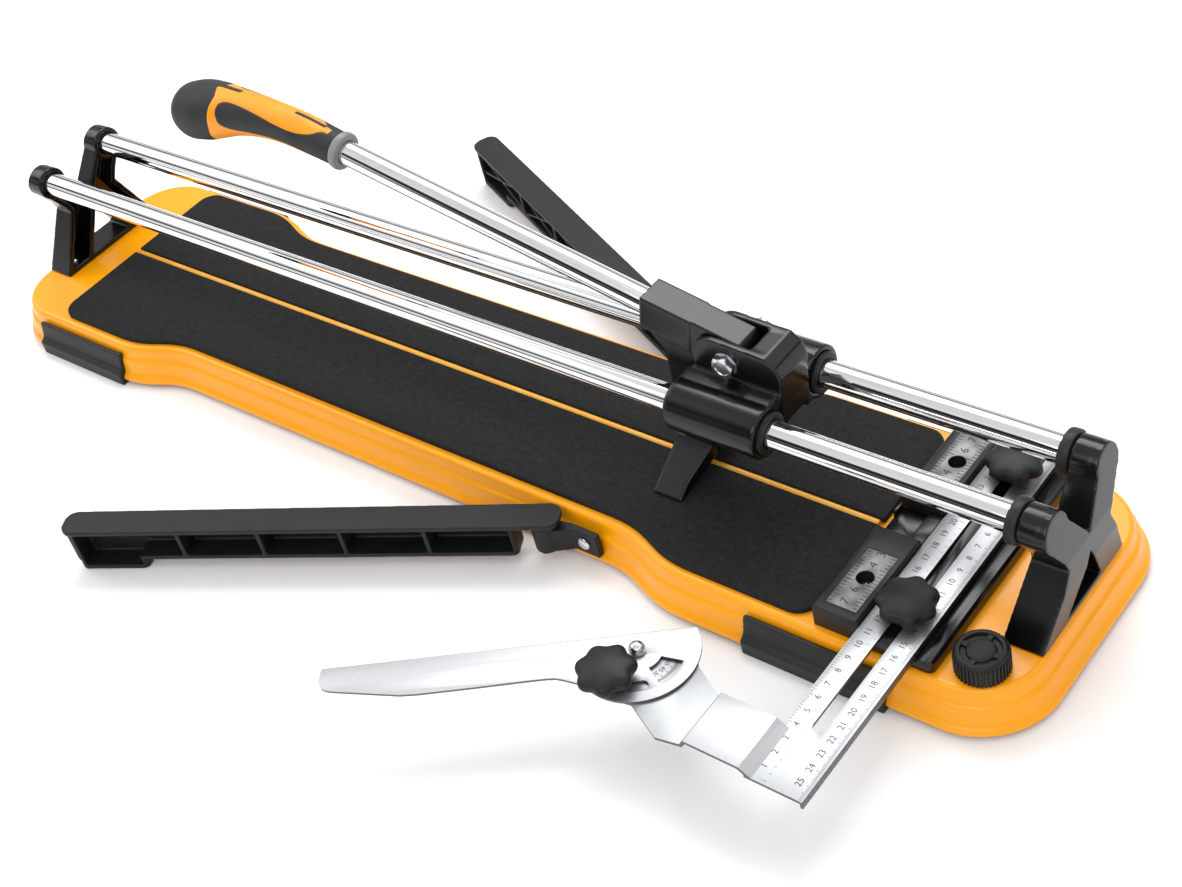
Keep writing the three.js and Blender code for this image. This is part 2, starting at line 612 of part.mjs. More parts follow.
function leverHead() {
  const h = HEAD_HALF_HEIGHT;
  const block = leverShape([[TONGUE_END, -h], [TONGUE_END, h], [HEAD_END, h], [HEAD_END, -h]]);
  const tongue = leverShape([
    [TONGUE_END + 1, -h], [-4, -h], [NOSE_END, -6], [NOSE_END, h - 4], [NOSE_END + 4, h],
    [TONGUE_END + 1, h],
  ]);
  const gusset = shapeOf([
    leverPoint(HEAD_END, -h + 1), leverPoint(46, -27), [FOOT_LEFT + 4, FOOT_RIDGE_Z + 14],
    [FOOT_LEFT + 4, FOOT_RIDGE_Z + GAP], [FOOT_RIGHT + 2, FOOT_RIDGE_Z + GAP],
    [WHEEL_X + 5, WHEEL_Z - 4], [WHEEL_X + 7, WHEEL_Z + 10], leverPoint(-1, -h + 1),
  ]);
  const legHalf = 7;
  const solid = join(
    prismY(block, -HEAD_HALF_WIDTH, HEAD_HALF_WIDTH),
    prismY(tongue, -TONGUE_HALF_WIDTH, TONGUE_HALF_WIDTH),
    prismY(gusset, -legHalf, legHalf),
  );
  const wheelSlot = join(
    rod([WHEEL_X, -2, WHEEL_Z], [WHEEL_X, 2, WHEEL_Z], WHEEL_RADIUS + 2),
    box(WHEEL_X - WHEEL_RADIUS - 2, WHEEL_X + 30, -2, 2, WHEEL_Z - 30, WHEEL_Z),
  );
  return cut(solid,
    leverRod(TUBE_START, HEAD_END + 5, TUBE_RADIUS + GAP),
    rod([PIVOT_X, -20, PIVOT_Z], [PIVOT_X, 20, PIVOT_Z], BOLT_RADIUS + RUN, undefined, 16),
    rod([WHEEL_X, -20, WHEEL_Z], [WHEEL_X, 20, WHEEL_Z], AXLE_RADIUS + 0.1, undefined, 16),
    wheelSlot);
}

// the two splayed wings that press a tile down on both sides of its score line
function breakerFoot() {
  const bottom = PAD_THICKNESS + GAP;
  const wings = shapeOf([
    [-FOOT_REACH, bottom], [-FOOT_REACH + 8, bottom], [0, FOOT_RIDGE_Z - FOOT_WALL - 1],
    [FOOT_REACH - 8, bottom], [FOOT_REACH, bottom], [FOOT_REACH, bottom + 1.5],
    [7.5, FOOT_RIDGE_Z], [-7.5, FOOT_RIDGE_Z], [-FOOT_REACH, bottom + 1.5],
  ]);
  const keel = shapeOf([
    [FOOT_RIGHT - 1, -FOOT_REACH + 6], [FOOT_KEEL, -4], [FOOT_KEEL, 4],
    [FOOT_RIGHT - 1, FOOT_REACH - 6],
  ]);
  const block = prismZ(keel, 0, FOOT_RIDGE_Z + 5);
  const keelWings = prismX(wings, FOOT_RIGHT - 2, FOOT_KEEL + 1).intersect(block);
  return join(prismX(wings, FOOT_LEFT, FOOT_RIGHT), keelWings);
}

// a round profile of [radius, distance] pairs turned about the lever and sagged at the grip
function gripSolid(profile) {
  const sides = 16;
  const geometry = new THREE.LatheGeometry(
    profile.map(([radius, distance]) => new THREE.Vector2(radius, distance)), sides);
  const position = geometry.attributes.position;
  for (let k = 0; k < position.count; k += 1) {
    const height = position.getX(k);
    const along = position.getY(k);
    const reach = Math.max(0, along - DROOP_START);
    const slope = Math.atan(-2 * DROOP * reach);
    const [x, z] = leverPoint(along - height * Math.sin(slope),
      -DROOP * reach * reach + height * Math.cos(slope));
    position.setXYZ(k, x, -position.getZ(k), z);
  }
  return toSolid(geometry);
}

const GRIP_PROFILE = [
  [10.9, GRIP_START], [11.7, 320], [12.1, 341], [13.2, 363], [15.5, 385], [18.3, 402],
  [19.8, 416], [19.2, 427], [15.5, 436], [8.5, 441],
];

// the grip between two distances along the lever
function gripPart(from, to) {
  const radiusAt = (distance) => {
    const next = GRIP_PROFILE.findIndex(([, s]) => s >= distance);
    const [r1, s1] = GRIP_PROFILE[next];
    const [r0, s0] = GRIP_PROFILE[Math.max(0, next - 1)];
    return s1 === s0 ? r1 : r0 + ((r1 - r0) * (distance - s0)) / (s1 - s0);
  };
  const between = GRIP_PROFILE.filter(([, s]) => s > from && s < to);
  const start = [radiusAt(from), from];
  const end = to >= GRIP_END ? [] : [[radiusAt(to), to]];
  return gripSolid([[0, from], start, ...between, ...end, [0, to]]);
}

const tubeRoom = leverRod(TUBE_START, NECK_END + 20, TUBE_RADIUS + GAP);

// one inlay of soft rubber at the side of the grip, which runs back into the neck
function inlayOutline(grow) {
  const sag = (s) => -DROOP * Math.max(0, s - DROOP_START) ** 2;
  const upper = [[NECK_END - 4, 1], [345, 1.5], [362, 5], [378, 8.5], [388, 8.5]];
  const lower = [[394, 4], [394, -3], [389, -8], [376, -9.5], [360, -9], [345, -8.5],
    [NECK_END - 4, -7]];
  const outline = [...upper, ...lower].map(([s, n]) => leverPoint(s, n + sag(s)));
  return shapeOf(inset(outline, -grow));
}

// the two side zones of the grip that lie outside the given depth from the middle
function inlayZones(depth, grow) {
  return join(prismY(inlayOutline(grow), depth, 30), prismY(inlayOutline(grow), -30, -depth));
}

function gripNeck() {
  const inlays = gripPart(NECK_END - 4, BULB_START - GAP).intersect(inlayZones(9.2, 0));
  return cut(join(gripPart(GRIP_START, NECK_END), inlays), tubeRoom);
}

function gripCore() {
  return cut(gripPart(NECK_END + GAP, BULB_START - GAP), inlayZones(9.2 - GAP, GAP), tubeRoom);
}

add('lever_head', leverHead(), BLACK_CAST);
add('lever_tube', leverRod(TUBE_START + GAP, NECK_END + 19, TUBE_RADIUS), CHROME);
add('grip_ring', cut(leverRod(RING_START, GRIP_START - GAP, 12.4, 12), tubeRoom), RING_GREY);
add('grip_neck', gripNeck(), GRIP_BLACK);
add('grip_core', gripCore(), GRIP_ORANGE);
add('grip_bulb', gripPart(BULB_START, GRIP_END), GRIP_BLACK);
add('breaker_foot', breakerFoot(), BLACK_CAST);
add('wheel_axle', rod([WHEEL_X, -8, WHEEL_Z], [WHEEL_X, 8, WHEEL_Z], AXLE_RADIUS, undefined, 16),
  STEEL);

function cuttingWheel() {
  const half = WHEEL_THICKNESS / 2;
  const bore = AXLE_RADIUS + 0.1;
  const profile = [[bore, -half], [WHEEL_RADIUS - 1.6, -half], [WHEEL_RADIUS, 0],
    [WHEEL_RADIUS - 1.6, half], [bore, half], [bore, -half]];
  const points = profile.map(([r, t]) => new THREE.Vector2(r, t));
  return toSolid(new THREE.LatheGeometry(points, 24)).translate([WHEEL_X, 0, WHEEL_Z]);
}
add('cutting_wheel', cuttingWheel(), TOOL_STEEL);

// ---------- side arms ----------

// two thin braces that cross in the pocket between two ribs
function crossedBraces(x0, x1, y0, y1, z0, z1) {
  const half = BRACE / 2;
  return [[z0, z1], [z1, z0]].map(([from, to]) => prismY(shapeOf([
    [x0 - 1, from - half], [x1 + 1, to - half], [x1 + 1, to + half], [x0 - 1, from + half],
  ]), y0, y1));
}

// an arm drawn along -X from its pivot at the origin, open on its -Y side
function sideArm(braced) {
  const top = ARM_TOP;
  const bottom = top - ARM_HEIGHT;
  const half = ARM_WIDTH / 2;
  const tip = -ARM_REACH;
  const plan = roundedRectangle(tip, ARM_OVERHANG, -half, half, 8);
  const body = roundedRectangle(tip + 3, -ARM_HEEL, -half + 1, half - 1, 4);
  const tab = roundedRectangle(tip + 4, tip + TAB_LENGTH, -half + 1, half - 1, 4);
  const arm = join(
    prismZ(plan, top - ARM_FLOOR, top, 4),
    prismZ(body, bottom, top - 1, 3),
    prismZ(tab, BENCH_Z + 0.5, bottom + 2, 3),
    rod([0, 0, BARREL_TOP + GAP], [0, 0, top - 1], BARREL_RADIUS + 1),
  );
  const web = half - 1 - ARM_WEB;
  const lastRib = -ARM_HEEL - ARM_WEB - RIB_PITCH + 1.5;
  const ribAt = Array.from({ length: RIBS }, (_, k) => lastRib - k * RIB_PITCH);
  const walls = [-ARM_HEEL - ARM_WEB + 1.5, ...ribAt, tip + 7];
  const pockets = walls.slice(1).map((wall, k) => {
    const [x0, x1, z0, z1] = [wall + 1.5, walls[k] - 1.5, bottom + 3, top - ARM_FLOOR];
    const pocket = box(x0, x1, -half - 1, web, z0, z1);
    return braced ? cut(pocket, ...crossedBraces(x0, x1, -half + 2, half, z0, z1)) : pocket;
  });
  const tabPocket = box(tip + 8.5, tip + TAB_LENGTH - 3, -half - 1, web, BENCH_Z + 3.5, bottom + 4);
  const pinHole = rod([0, 0, BARREL_BOTTOM], [0, 0, top - 1.5], 3 + RUN, undefined, 16);
  return cut(arm, ...pockets, tabPocket, pinHole);
}

// the hinge lug that is screwed to the pan wall and carries the arm on an upright barrel
function armLug(pivotX) {
  const wall = PAN_HALF_WAIST + 8.5;
  const barrel = rod([pivotX, ARM_PIVOT_Y, BARREL_BOTTOM],
    [pivotX, ARM_PIVOT_Y, BARREL_TOP], BARREL_RADIUS);
  const pin = rod([pivotX, ARM_PIVOT_Y, BARREL_TOP - 1],
    [pivotX, ARM_PIVOT_Y, ARM_TOP - 1.8], 3, undefined, 16);
  const neck = shapeOf([
    [pivotX, ARM_PIVOT_Y - 6], [pivotX + 14, wall - 1], [pivotX + 36, wall - 1],
    [pivotX + 36, wall + 3.6], [pivotX + 18, wall + 3.6], [pivotX + 3, ARM_PIVOT_Y + 6],
  ]);
  const plate = prismZ(neck, BARREL_BOTTOM, BARREL_TOP - 3);
  return join(barrel, pin, plate);
}

const LUG_SCREW_OFFSET = 26;
const LUG_SCREW_Z = -12;
const LUG_FACE = PAN_HALF_WAIST + 8.5 + 3.6 + GAP;

const mirrorIf = (solid, side) => (side > 0 ? solid : solid.mirror([0, 1, 0]));
const panRoom = clipRecess();
for (const [name, side, pivotX, angle] of [['front', -1, FRONT_ARM_X, FRONT_ARM_ANGLE],
  ['rear', 1, REAR_ARM_X, REAR_ARM_ANGLE]]) {
  const screwX = pivotX + LUG_SCREW_OFFSET;
  const screwHole = rod([screwX, 60, LUG_SCREW_Z], [screwX, 100, LUG_SCREW_Z], 2.4,
    undefined, 12);
  add(`${name}_arm_lug`, mirrorIf(cut(armLug(pivotX), panRoom, screwHole), side), BLACK_PLASTIC);
  const screw = join(
    rod([screwX, LUG_FACE - 6, LUG_SCREW_Z], [screwX, LUG_FACE + 1, LUG_SCREW_Z], 2,
      undefined, 12),
    rod([screwX, LUG_FACE, LUG_SCREW_Z], [screwX, LUG_FACE + 2, LUG_SCREW_Z], 4.4, 3.4,
      12),
  );
  add(`${name}_lug_screw`, mirrorIf(screw, side), ZINC);
  // both arms are open towards the user, so the rear one is turned over before it is mirrored
  const blank = side < 0 ? sideArm(false) : sideArm(true).mirror([0, 1, 0]);
  const arm = blank.rotate([0, 0, angle]).translate([pivotX, -ARM_PIVOT_Y, 0]);
  add(`${name}_arm`, mirrorIf(arm.mirror([0, 1, 0]), side), BLACK_PLASTIC);
}

// ---------- fence: bed, scale blocks and centre piece ----------

const STUD_X = RULER_LEFT + RULER_WIDTH / 2;
const BLOCK_HOLE_X = (BLOCK_LEFT + BLOCK_RIGHT) / 2 + 1.4;

function fenceBed() {
  const left = BLOCK_RIGHT + GAP;
  const step = RULER_LEFT + RULER_WIDTH - 2.2;
  const groove = RULER_LEFT + RULER_WIDTH + 0.8;
  const profile = shapeOf([
    [left, GAP], [FENCE_RIGHT, GAP], [FENCE_RIGHT, 7], [FENCE_RIGHT - 1.5, 8.6],
    [groove, 8.6], [groove, 6], [step, 6], [step, BED_TOP], [left, BED_TOP],
  ]);
  const plan = roundedRectangle(left, FENCE_RIGHT, -FENCE_HALF, FENCE_HALF, 4);
  const bed = prismY(profile, -FENCE_HALF, FENCE_HALF).intersect(prismZ(plan, 0, 20, 4));
  const studs = [-STUD_Y, STUD_Y].map((y) => rod([STUD_X, y, 2], [STUD_X, y, 20],
    STUD_RADIUS + GAP, undefined, 12));
  return cut(bed, ...studs);
}

function scaleBlock() {
  const chamfer = 1.2;
  const profile = shapeOf([
    [BLOCK_LEFT, GAP], [BLOCK_RIGHT, GAP], [BLOCK_RIGHT, BLOCK_TOP - chamfer],
    [BLOCK_RIGHT - chamfer, BLOCK_TOP], [BLOCK_LEFT + chamfer, BLOCK_TOP],
    [BLOCK_LEFT, BLOCK_TOP - chamfer],
  ]);
  const recess = box(PLATE_LEFT - GAP, PLATE_RIGHT + GAP, PLATE_INNER - GAP, PLATE_OUTER + GAP,
    BLOCK_TOP - PLATE_SHEET, BLOCK_TOP + 1);
  const counterbore = rod([BLOCK_HOLE_X, BLOCK_HOLE_Y, 6], [BLOCK_HOLE_X, BLOCK_HOLE_Y, 20],
    BLOCK_HOLE_RADIUS);
  const hole = rod([BLOCK_HOLE_X, BLOCK_HOLE_Y, -1], [BLOCK_HOLE_X, BLOCK_HOLE_Y, 8], 2.6,
    undefined, 12);
  return cut(prismY(profile, BLOCK_INNER, BLOCK_OUTER), recess, counterbore, hole);
}

const PLATE_LEFT = BLOCK_LEFT + 5.5;
const PLATE_RIGHT = PLATE_LEFT + 19;
const PLATE_INNER = 30;
const PLATE_OUTER = BLOCK_OUTER - 6;
const PLATE_SHEET = 0.8;

function scalePlate() {
  const plate = box(PLATE_LEFT, PLATE_RIGHT, PLATE_INNER, PLATE_OUTER,
    BLOCK_TOP - PLATE_SHEET + GAP / 3, BLOCK_TOP);
  const hole = rod([BLOCK_HOLE_X, BLOCK_HOLE_Y, 10], [BLOCK_HOLE_X, BLOCK_HOLE_Y, 20],
    BLOCK_HOLE_RADIUS);
  return plate.subtract(hole);
}

function blockScrew() {
  const shank = rod([BLOCK_HOLE_X, BLOCK_HOLE_Y, GAP], [BLOCK_HOLE_X, BLOCK_HOLE_Y, 7], 2.2,
    undefined, 12);
  const head = rod([BLOCK_HOLE_X, BLOCK_HOLE_Y, 6 + GAP], [BLOCK_HOLE_X, BLOCK_HOLE_Y, 8.8], 4.4,
    3.6, 12);
  const socket = prismZ(hexagon(3.4), 7.6, 10).translate([BLOCK_HOLE_X, BLOCK_HOLE_Y, 0]);
  return cut(join(shank, head), socket);
}

add('fence_bed', fenceBed(), BLACK_CAST);
for (const [name, side] of [['front', -1], ['rear', 1]]) {
  add(`${name}_scale_block`, mirrorIf(scaleBlock(), side), BLACK_PLASTIC);
  add(`${name}_scale_plate`, mirrorIf(scalePlate(), side), SCALE_GREY);
  add(`${name}_block_screw`, mirrorIf(blockScrew(), side), ZINC);
}

const centreEdge = BLOCK_INNER - GAP;
const centreBlock = join(
  box(BLOCK_LEFT + 1.5, BLOCK_RIGHT, -centreEdge, centreEdge, GAP, 7),
  box(BLOCK_RIGHT - 9, BLOCK_RIGHT, -centreEdge, centreEdge, 6, 12),
);
add('centre_block', centreBlock, BLACK_CAST);
const stopPlate = join(
  box(BLOCK_LEFT + 2, BLOCK_RIGHT - 9 - GAP, -10, 10, 7 + GAP, 8.8),
  box(BLOCK_LEFT + 2, BLOCK_LEFT + 3.8, 2, 10, 8, 14),
);
add('centre_stop_plate', stopPlate, BLACK_CAST);

// ---------- ruler with its cranked leg ----------

const SHEET_BOTTOM = BED_TOP + GAP;
const SHEET_TOP = SHEET_BOTTOM + RULER_SHEET;
const STEP_X = BLOCK_LEFT - 9.5;     // the foot of the step down to the swivel plate

function ruler() {
  const right = RULER_LEFT + RULER_WIDTH;
  const blade = box(RULER_LEFT, right, RULER_FRONT, RULER_REAR, SHEET_BOTTOM, SHEET_TOP);
  const lip = box(right - 1.6, right, RULER_FRONT, RULER_REAR, SHEET_BOTTOM - 3.4, SHEET_BOTTOM + 1);
  const low = SHEET_BOTTOM;
  const high = SHEET_BOTTOM + LEG_RISE;
  const t = RULER_SHEET;
  const cranked = shapeOf([
    [RULER_LEFT + 6, low], [RULER_LEFT + 3.5, low], [RULER_LEFT - 3.5, high],
    [STEP_X + 3, high], [STEP_X, low], [STEP_X - 12, low], [STEP_X - 12, low + t],
    [STEP_X - 1.2, low + t], [STEP_X + 1.8, high + t], [RULER_LEFT - 2.4, high + t],
    [RULER_LEFT + 4.6, low + t], [RULER_LEFT + 6, low + t],
  ]);
  const leg = prismY(cranked, RULER_FRONT, RULER_FRONT + LEG_WIDTH);
  const plate = shapeOf([
    [STEP_X - 1, RULER_FRONT + LEG_WIDTH], [SWIVEL_X + 26, SWIVEL_Y + 14], [SWIVEL_X + 14, SWIVEL_Y + 18],
    [SWIVEL_X - 4, SWIVEL_Y + 9], [SWIVEL_X - 12, SWIVEL_Y - 3], [SWIVEL_X - 14, SWIVEL_Y - 26],
    [SWIVEL_X - 4, SWIVEL_Y - 33], [SWIVEL_X + 17, SWIVEL_Y - 30], [STEP_X - 15, RULER_FRONT - 2.5],
    [STEP_X - 1, RULER_FRONT],
  ].reverse());
  const slot = prismZ(slotShape(STUD_X, SLOT_FRONT, STUD_X, SLOT_REAR, SLOT_WIDTH),
    SHEET_BOTTOM - 1, SHEET_TOP + 1, 6);
  const clampHole = rod([CLAMP_X, CLAMP_Y, 0], [CLAMP_X, CLAMP_Y, 30], STUD_RADIUS + GAP, undefined, 12);
  const swivelHole = rod([SWIVEL_X, SWIVEL_Y, 0], [SWIVEL_X, SWIVEL_Y, 30], 2.5 + GAP, undefined, 12);
  return cut(join(blade, lip, leg, prismZ(plate, low, low + t)), slot, clampHole, swivelHole);
}

const CLAMP_X = SWIVEL_X + ARC_RADIUS * Math.cos(CLAMP_ANGLE);
const CLAMP_Y = SWIVEL_Y + ARC_RADIUS * Math.sin(CLAMP_ANGLE);

add('ruler', ruler(), STEEL);

// ---------- protractor blade ----------

const BLADE_BOTTOM = SHEET_TOP + GAP;
const BLADE_TOP = BLADE_BOTTOM + BLADE_SHEET;

// a ring sector about the swivel in the blade's own plane
function sectorShape(inner, outer, from, to) {
  const shape = new THREE.Shape();
  shape.absarc(0, 0, outer, from, to, false);
  shape.absarc(0, 0, inner, to, from, true);
  return shape;
}

// an arc-shaped slot about the swivel with round ends
function arcSlot(from, to, width) {
  const ring = prismZ(sectorShape(ARC_RADIUS - width / 2, ARC_RADIUS + width / 2, from, to), 0, 9, 10);
  const ends = [from, to].map((angle) => {
    const x = ARC_RADIUS * Math.cos(angle);
    const y = ARC_RADIUS * Math.sin(angle);
    return rod([x, y, 0], [x, y, 9], width / 2, undefined, 12);
  });
  return join(ring, ...ends);
}

function protractorBlade() {
  const edge = -13;
  const disc = rod([0, 0, 0], [0, 0, BLADE_SHEET], DISC_RADIUS, undefined, 36);
  const straight = disc.intersect(box(-60, 60, edge, 60, -1, 9));
  const arm = shapeOf([
    [-36.5, edge], [BLADE_LENGTH, edge], [BLADE_LENGTH + 0.5, -5], [BLADE_LENGTH - 1.5, 1],
    [BLADE_LENGTH - 7, 4], [132, 13], [50, 12], [42, 13.2], [34, 18], [27, 22], [0, 20], [-35, 0],
  ]);
  const clampAt = CLAMP_ANGLE - BLADE_ANGLE;
  const slot = arcSlot(clampAt - ARC_HALF, clampAt + ARC_HALF, 2 * STUD_RADIUS + 1);
  const window = prismZ(sectorShape(14, 27, THREE.MathUtils.degToRad(116),
    THREE.MathUtils.degToRad(158)), -1, 9, 8);
  const pivot = rod([0, 0, -1], [0, 0, 9], 2.5 + RUN, undefined, 12);
  const blade = cut(join(straight, prismZ(arm, 0, BLADE_SHEET)), slot.translate([0, 0, -1]), window,
    pivot);
  return blade.rotate([0, 0, THREE.MathUtils.radToDeg(BLADE_ANGLE)])
    .translate([SWIVEL_X, SWIVEL_Y, BLADE_BOTTOM]);
}

function swivelPin() {
  const at = (r, z) => new THREE.Vector2(r, z);
  const profile = [
    at(0, SHEET_BOTTOM - 1.8), at(5, SHEET_BOTTOM - 1.8), at(5, SHEET_BOTTOM - GAP),
    at(2.5, SHEET_BOTTOM - GAP), at(2.5, BLADE_TOP + GAP), at(4.2, BLADE_TOP + GAP + 0.6),
    at(4.8, BLADE_TOP + 2.6), at(4.1, BLADE_TOP + 4.8), at(2.4, BLADE_TOP + 6.1), at(0, BLADE_TOP + 6.5),
  ];
  const pin = new THREE.LatheGeometry(profile, 12).rotateX(Math.PI / 2);
  return toSolid(pin.translate(SWIVEL_X, SWIVEL_Y, 0));
}

add('protractor_blade', protractorBlade(), STEEL);
add('swivel_pin', swivelPin(), ZINC);

// ---------- studs, star knobs and storage cap ----------

const KNOB_NECK = 4;
const KNOB_BODY = 8.5;

function starKnob(x, y, seat) {
  const points = [];
  const steps = KNOB_LOBES * 4;
  for (let k = 0; k < steps; k += 1) {
    const angle = (2 * Math.PI * k) / steps;
    const radius = KNOB_RADIUS - 2.9 + 1.3 * Math.cos(KNOB_LOBES * angle);
    points.push([radius * Math.cos(angle), radius * Math.sin(angle)]);
  }
  const star = new THREE.ExtrudeGeometry(shapeOf(points), {
    depth: KNOB_BODY - 3,
    bevelEnabled: true,
    bevelThickness: 3,
    bevelSize: 1.5,
    bevelSegments: 1,
  });
  const body = toSolid(star.translate(0, 0, KNOB_NECK + 2.5));
  const neck = rod([0, 0, 0], [0, 0, KNOB_NECK + 2], 7.5, 10, 14);
  const hole = rod([0, 0, -1], [0, 0, 10], STUD_RADIUS + RUN, undefined, 12);
  return cut(join(body, neck), hole).translate([x, y, seat]);
}

function clampStud(x, y, bottom, top) {
  return rod([x, y, bottom], [x, y, top], STUD_RADIUS, undefined, 12);
}

const rulerSeat = SHEET_TOP + GAP;
const bladeSeat = BLADE_TOP + GAP;
for (const [name, side] of [['front', -1], ['rear', 1]]) {
  add(`${name}_stud`, clampStud(STUD_X, side * STUD_Y, 2 + GAP, rulerSeat + 9), ZINC);
  add(`${name}_knob`, starKnob(STUD_X, side * STUD_Y, rulerSeat), BLACK_PLASTIC);
}
const protractorStud = join(
  clampStud(CLAMP_X, CLAMP_Y, SHEET_BOTTOM - 2, bladeSeat + 9),
  rod([CLAMP_X, CLAMP_Y, SHEET_BOTTOM - 2.8], [CLAMP_X, CLAMP_Y, SHEET_BOTTOM - GAP], 6.5),
);
add('protractor_stud', protractorStud, ZINC);
add('protractor_knob', starKnob(CLAMP_X, CLAMP_Y, bladeSeat), BLACK_PLASTIC);

function storageCap() {
  const at = (r, z) => new THREE.Vector2(r, z);
  const r = CAP_RADIUS;
  const top = CAP_HEIGHT;
  const profile = [
    at(0, -2.4), at(r - 3 - RUN, -2.4), at(r - 3 - RUN, GAP), at(r, GAP), at(r, top - 1.2),
    at(r - 1.2, top), at(r - 4.5, top), at(r - 5.5, top - 1.6), at(0, top - 1.2),
  ];
  const cap = toSolid(new THREE.LatheGeometry(profile, 24).rotateX(Math.PI / 2));
  const scoops = [0, 1, 2].map((k) => {
    const angle = (k * 2 * Math.PI) / 3;
    const x = (r - 4.8) * Math.cos(angle);
    const y = (r - 4.8) * Math.sin(angle);
    return rod([x, y, top - 3.5], [x, y, top + 1], 3.4, 3.8, 12);
  });
  return cut(cap, ...scoops).translate([CAP_X, CAP_Y, 0]);
}
add('storage_cap', storageCap(), BLACK_PLASTIC);

export default part;
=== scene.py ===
import json
import math
from contextlib import contextmanager

import bmesh
import bpy
import numpy as np
from mathutils import Matrix, Vector

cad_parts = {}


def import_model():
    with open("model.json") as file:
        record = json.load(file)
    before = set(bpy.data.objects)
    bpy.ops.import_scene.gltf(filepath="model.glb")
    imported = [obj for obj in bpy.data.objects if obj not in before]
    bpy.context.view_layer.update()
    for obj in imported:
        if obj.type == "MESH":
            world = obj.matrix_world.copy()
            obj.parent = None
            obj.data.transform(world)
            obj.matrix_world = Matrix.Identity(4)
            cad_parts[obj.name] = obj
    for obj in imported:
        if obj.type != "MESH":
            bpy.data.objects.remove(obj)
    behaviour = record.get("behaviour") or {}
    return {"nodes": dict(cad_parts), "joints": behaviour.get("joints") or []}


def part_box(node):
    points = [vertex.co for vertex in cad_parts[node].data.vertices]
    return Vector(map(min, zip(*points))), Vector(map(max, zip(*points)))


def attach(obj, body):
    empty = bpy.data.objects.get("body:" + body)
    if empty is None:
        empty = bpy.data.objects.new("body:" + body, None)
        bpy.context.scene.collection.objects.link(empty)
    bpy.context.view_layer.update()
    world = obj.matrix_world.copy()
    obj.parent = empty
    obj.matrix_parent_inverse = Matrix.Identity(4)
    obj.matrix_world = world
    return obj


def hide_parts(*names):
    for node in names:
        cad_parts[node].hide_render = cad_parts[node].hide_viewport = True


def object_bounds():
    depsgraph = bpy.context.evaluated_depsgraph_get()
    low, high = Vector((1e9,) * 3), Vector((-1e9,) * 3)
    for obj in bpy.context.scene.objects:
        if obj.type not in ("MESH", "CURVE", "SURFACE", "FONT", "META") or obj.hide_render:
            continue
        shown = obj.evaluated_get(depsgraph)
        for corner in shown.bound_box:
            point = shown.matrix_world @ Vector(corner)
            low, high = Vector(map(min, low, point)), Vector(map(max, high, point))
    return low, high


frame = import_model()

# Manual rail tile cutter. Metres; +X runs along the rails to the fence, +Y is away from the
# user, +Z is up, and z = 0 is the top plane of the steel base.

MM = 0.001
cad_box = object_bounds()
nodes = frame["nodes"]

# ---------- places and sizes in millimetres ----------

def extents(node):
    """Lowest corner, highest corner and centre of a CAD node, in millimetres."""
    low, high = (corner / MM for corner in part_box(node))
    return low, high, (low + high) / 2


HINGES = {joint["name"]: Vector(joint["pos_m"]) / MM for joint in frame["joints"] if "pos_m" in joint}
PIVOT, WHEEL, SWIVEL = (HINGES[name] for name in ("lever_pivot", "wheel_spin", "angle_fence_pivot"))

RAIL_LOW, RAIL_HIGH, RAIL_MIDDLE = extents("rear_rail")
RAIL_Y, RAIL_Z = RAIL_MIDDLE.y, RAIL_MIDDLE.z
RAIL_RADIUS = RAIL_HIGH.z - RAIL_Z

GAP = 0.3                                   # clearance between neighbouring pieces
RIM = 9.8                                   # how far the rolled rim stands out from the top of the base
BUSH_FLANGE = 2.5
LEVER_ANGLE = math.radians(11.8)            # rise of the lever tube towards the handle
GRIP_START, GRIP_END = 298.0, 442.0         # distances along the lever from its pivot
DROOP_START, DROOP = 318.0, 0.0024          # where the grip starts to bend down, and how fast
BLADE_ANGLE = math.radians(216)


# ---------- materials ----------

def linear(hexcode):
    """An sRGB hex colour as linear RGBA."""
    def channel(v):
        return v / 12.92 if v <= 0.04045 else ((v + 0.055) / 1.055) ** 2.4
    return tuple(channel(((hexcode >> s) & 255) / 255) for s in (16, 8, 0)) + (1.0,)


def add_node(tree, kind, links=None, stops=(), **settings):
    """Adds a node; settings name its properties or inputs, links feed its inputs, stops its ramp."""
    node = tree.nodes.new(kind)
    for key, value in settings.items():
        if hasattr(node, key):
            setattr(node, key, value)
        else:
            node.inputs[key.replace("_", " ")].default_value = value
    for key, source in (links or {}).items():
        tree.links.new(source, node.inputs[key])
    for index, (position, code) in enumerate(stops):
        elements = node.color_ramp.elements
        stop = elements[index] if index < 2 else elements.new(position)
        stop.position = position
        stop.color = linear(code)
    return node


def start_material(name):
    material = bpy.data.materials.new(name)
    material.use_nodes = True
    tree = material.node_tree
    tree.nodes.clear()
    output = add_node(tree, "ShaderNodeOutputMaterial")
    place = add_node(tree, "ShaderNodeTexCoord").outputs["Object"]
    return material, tree, output, place


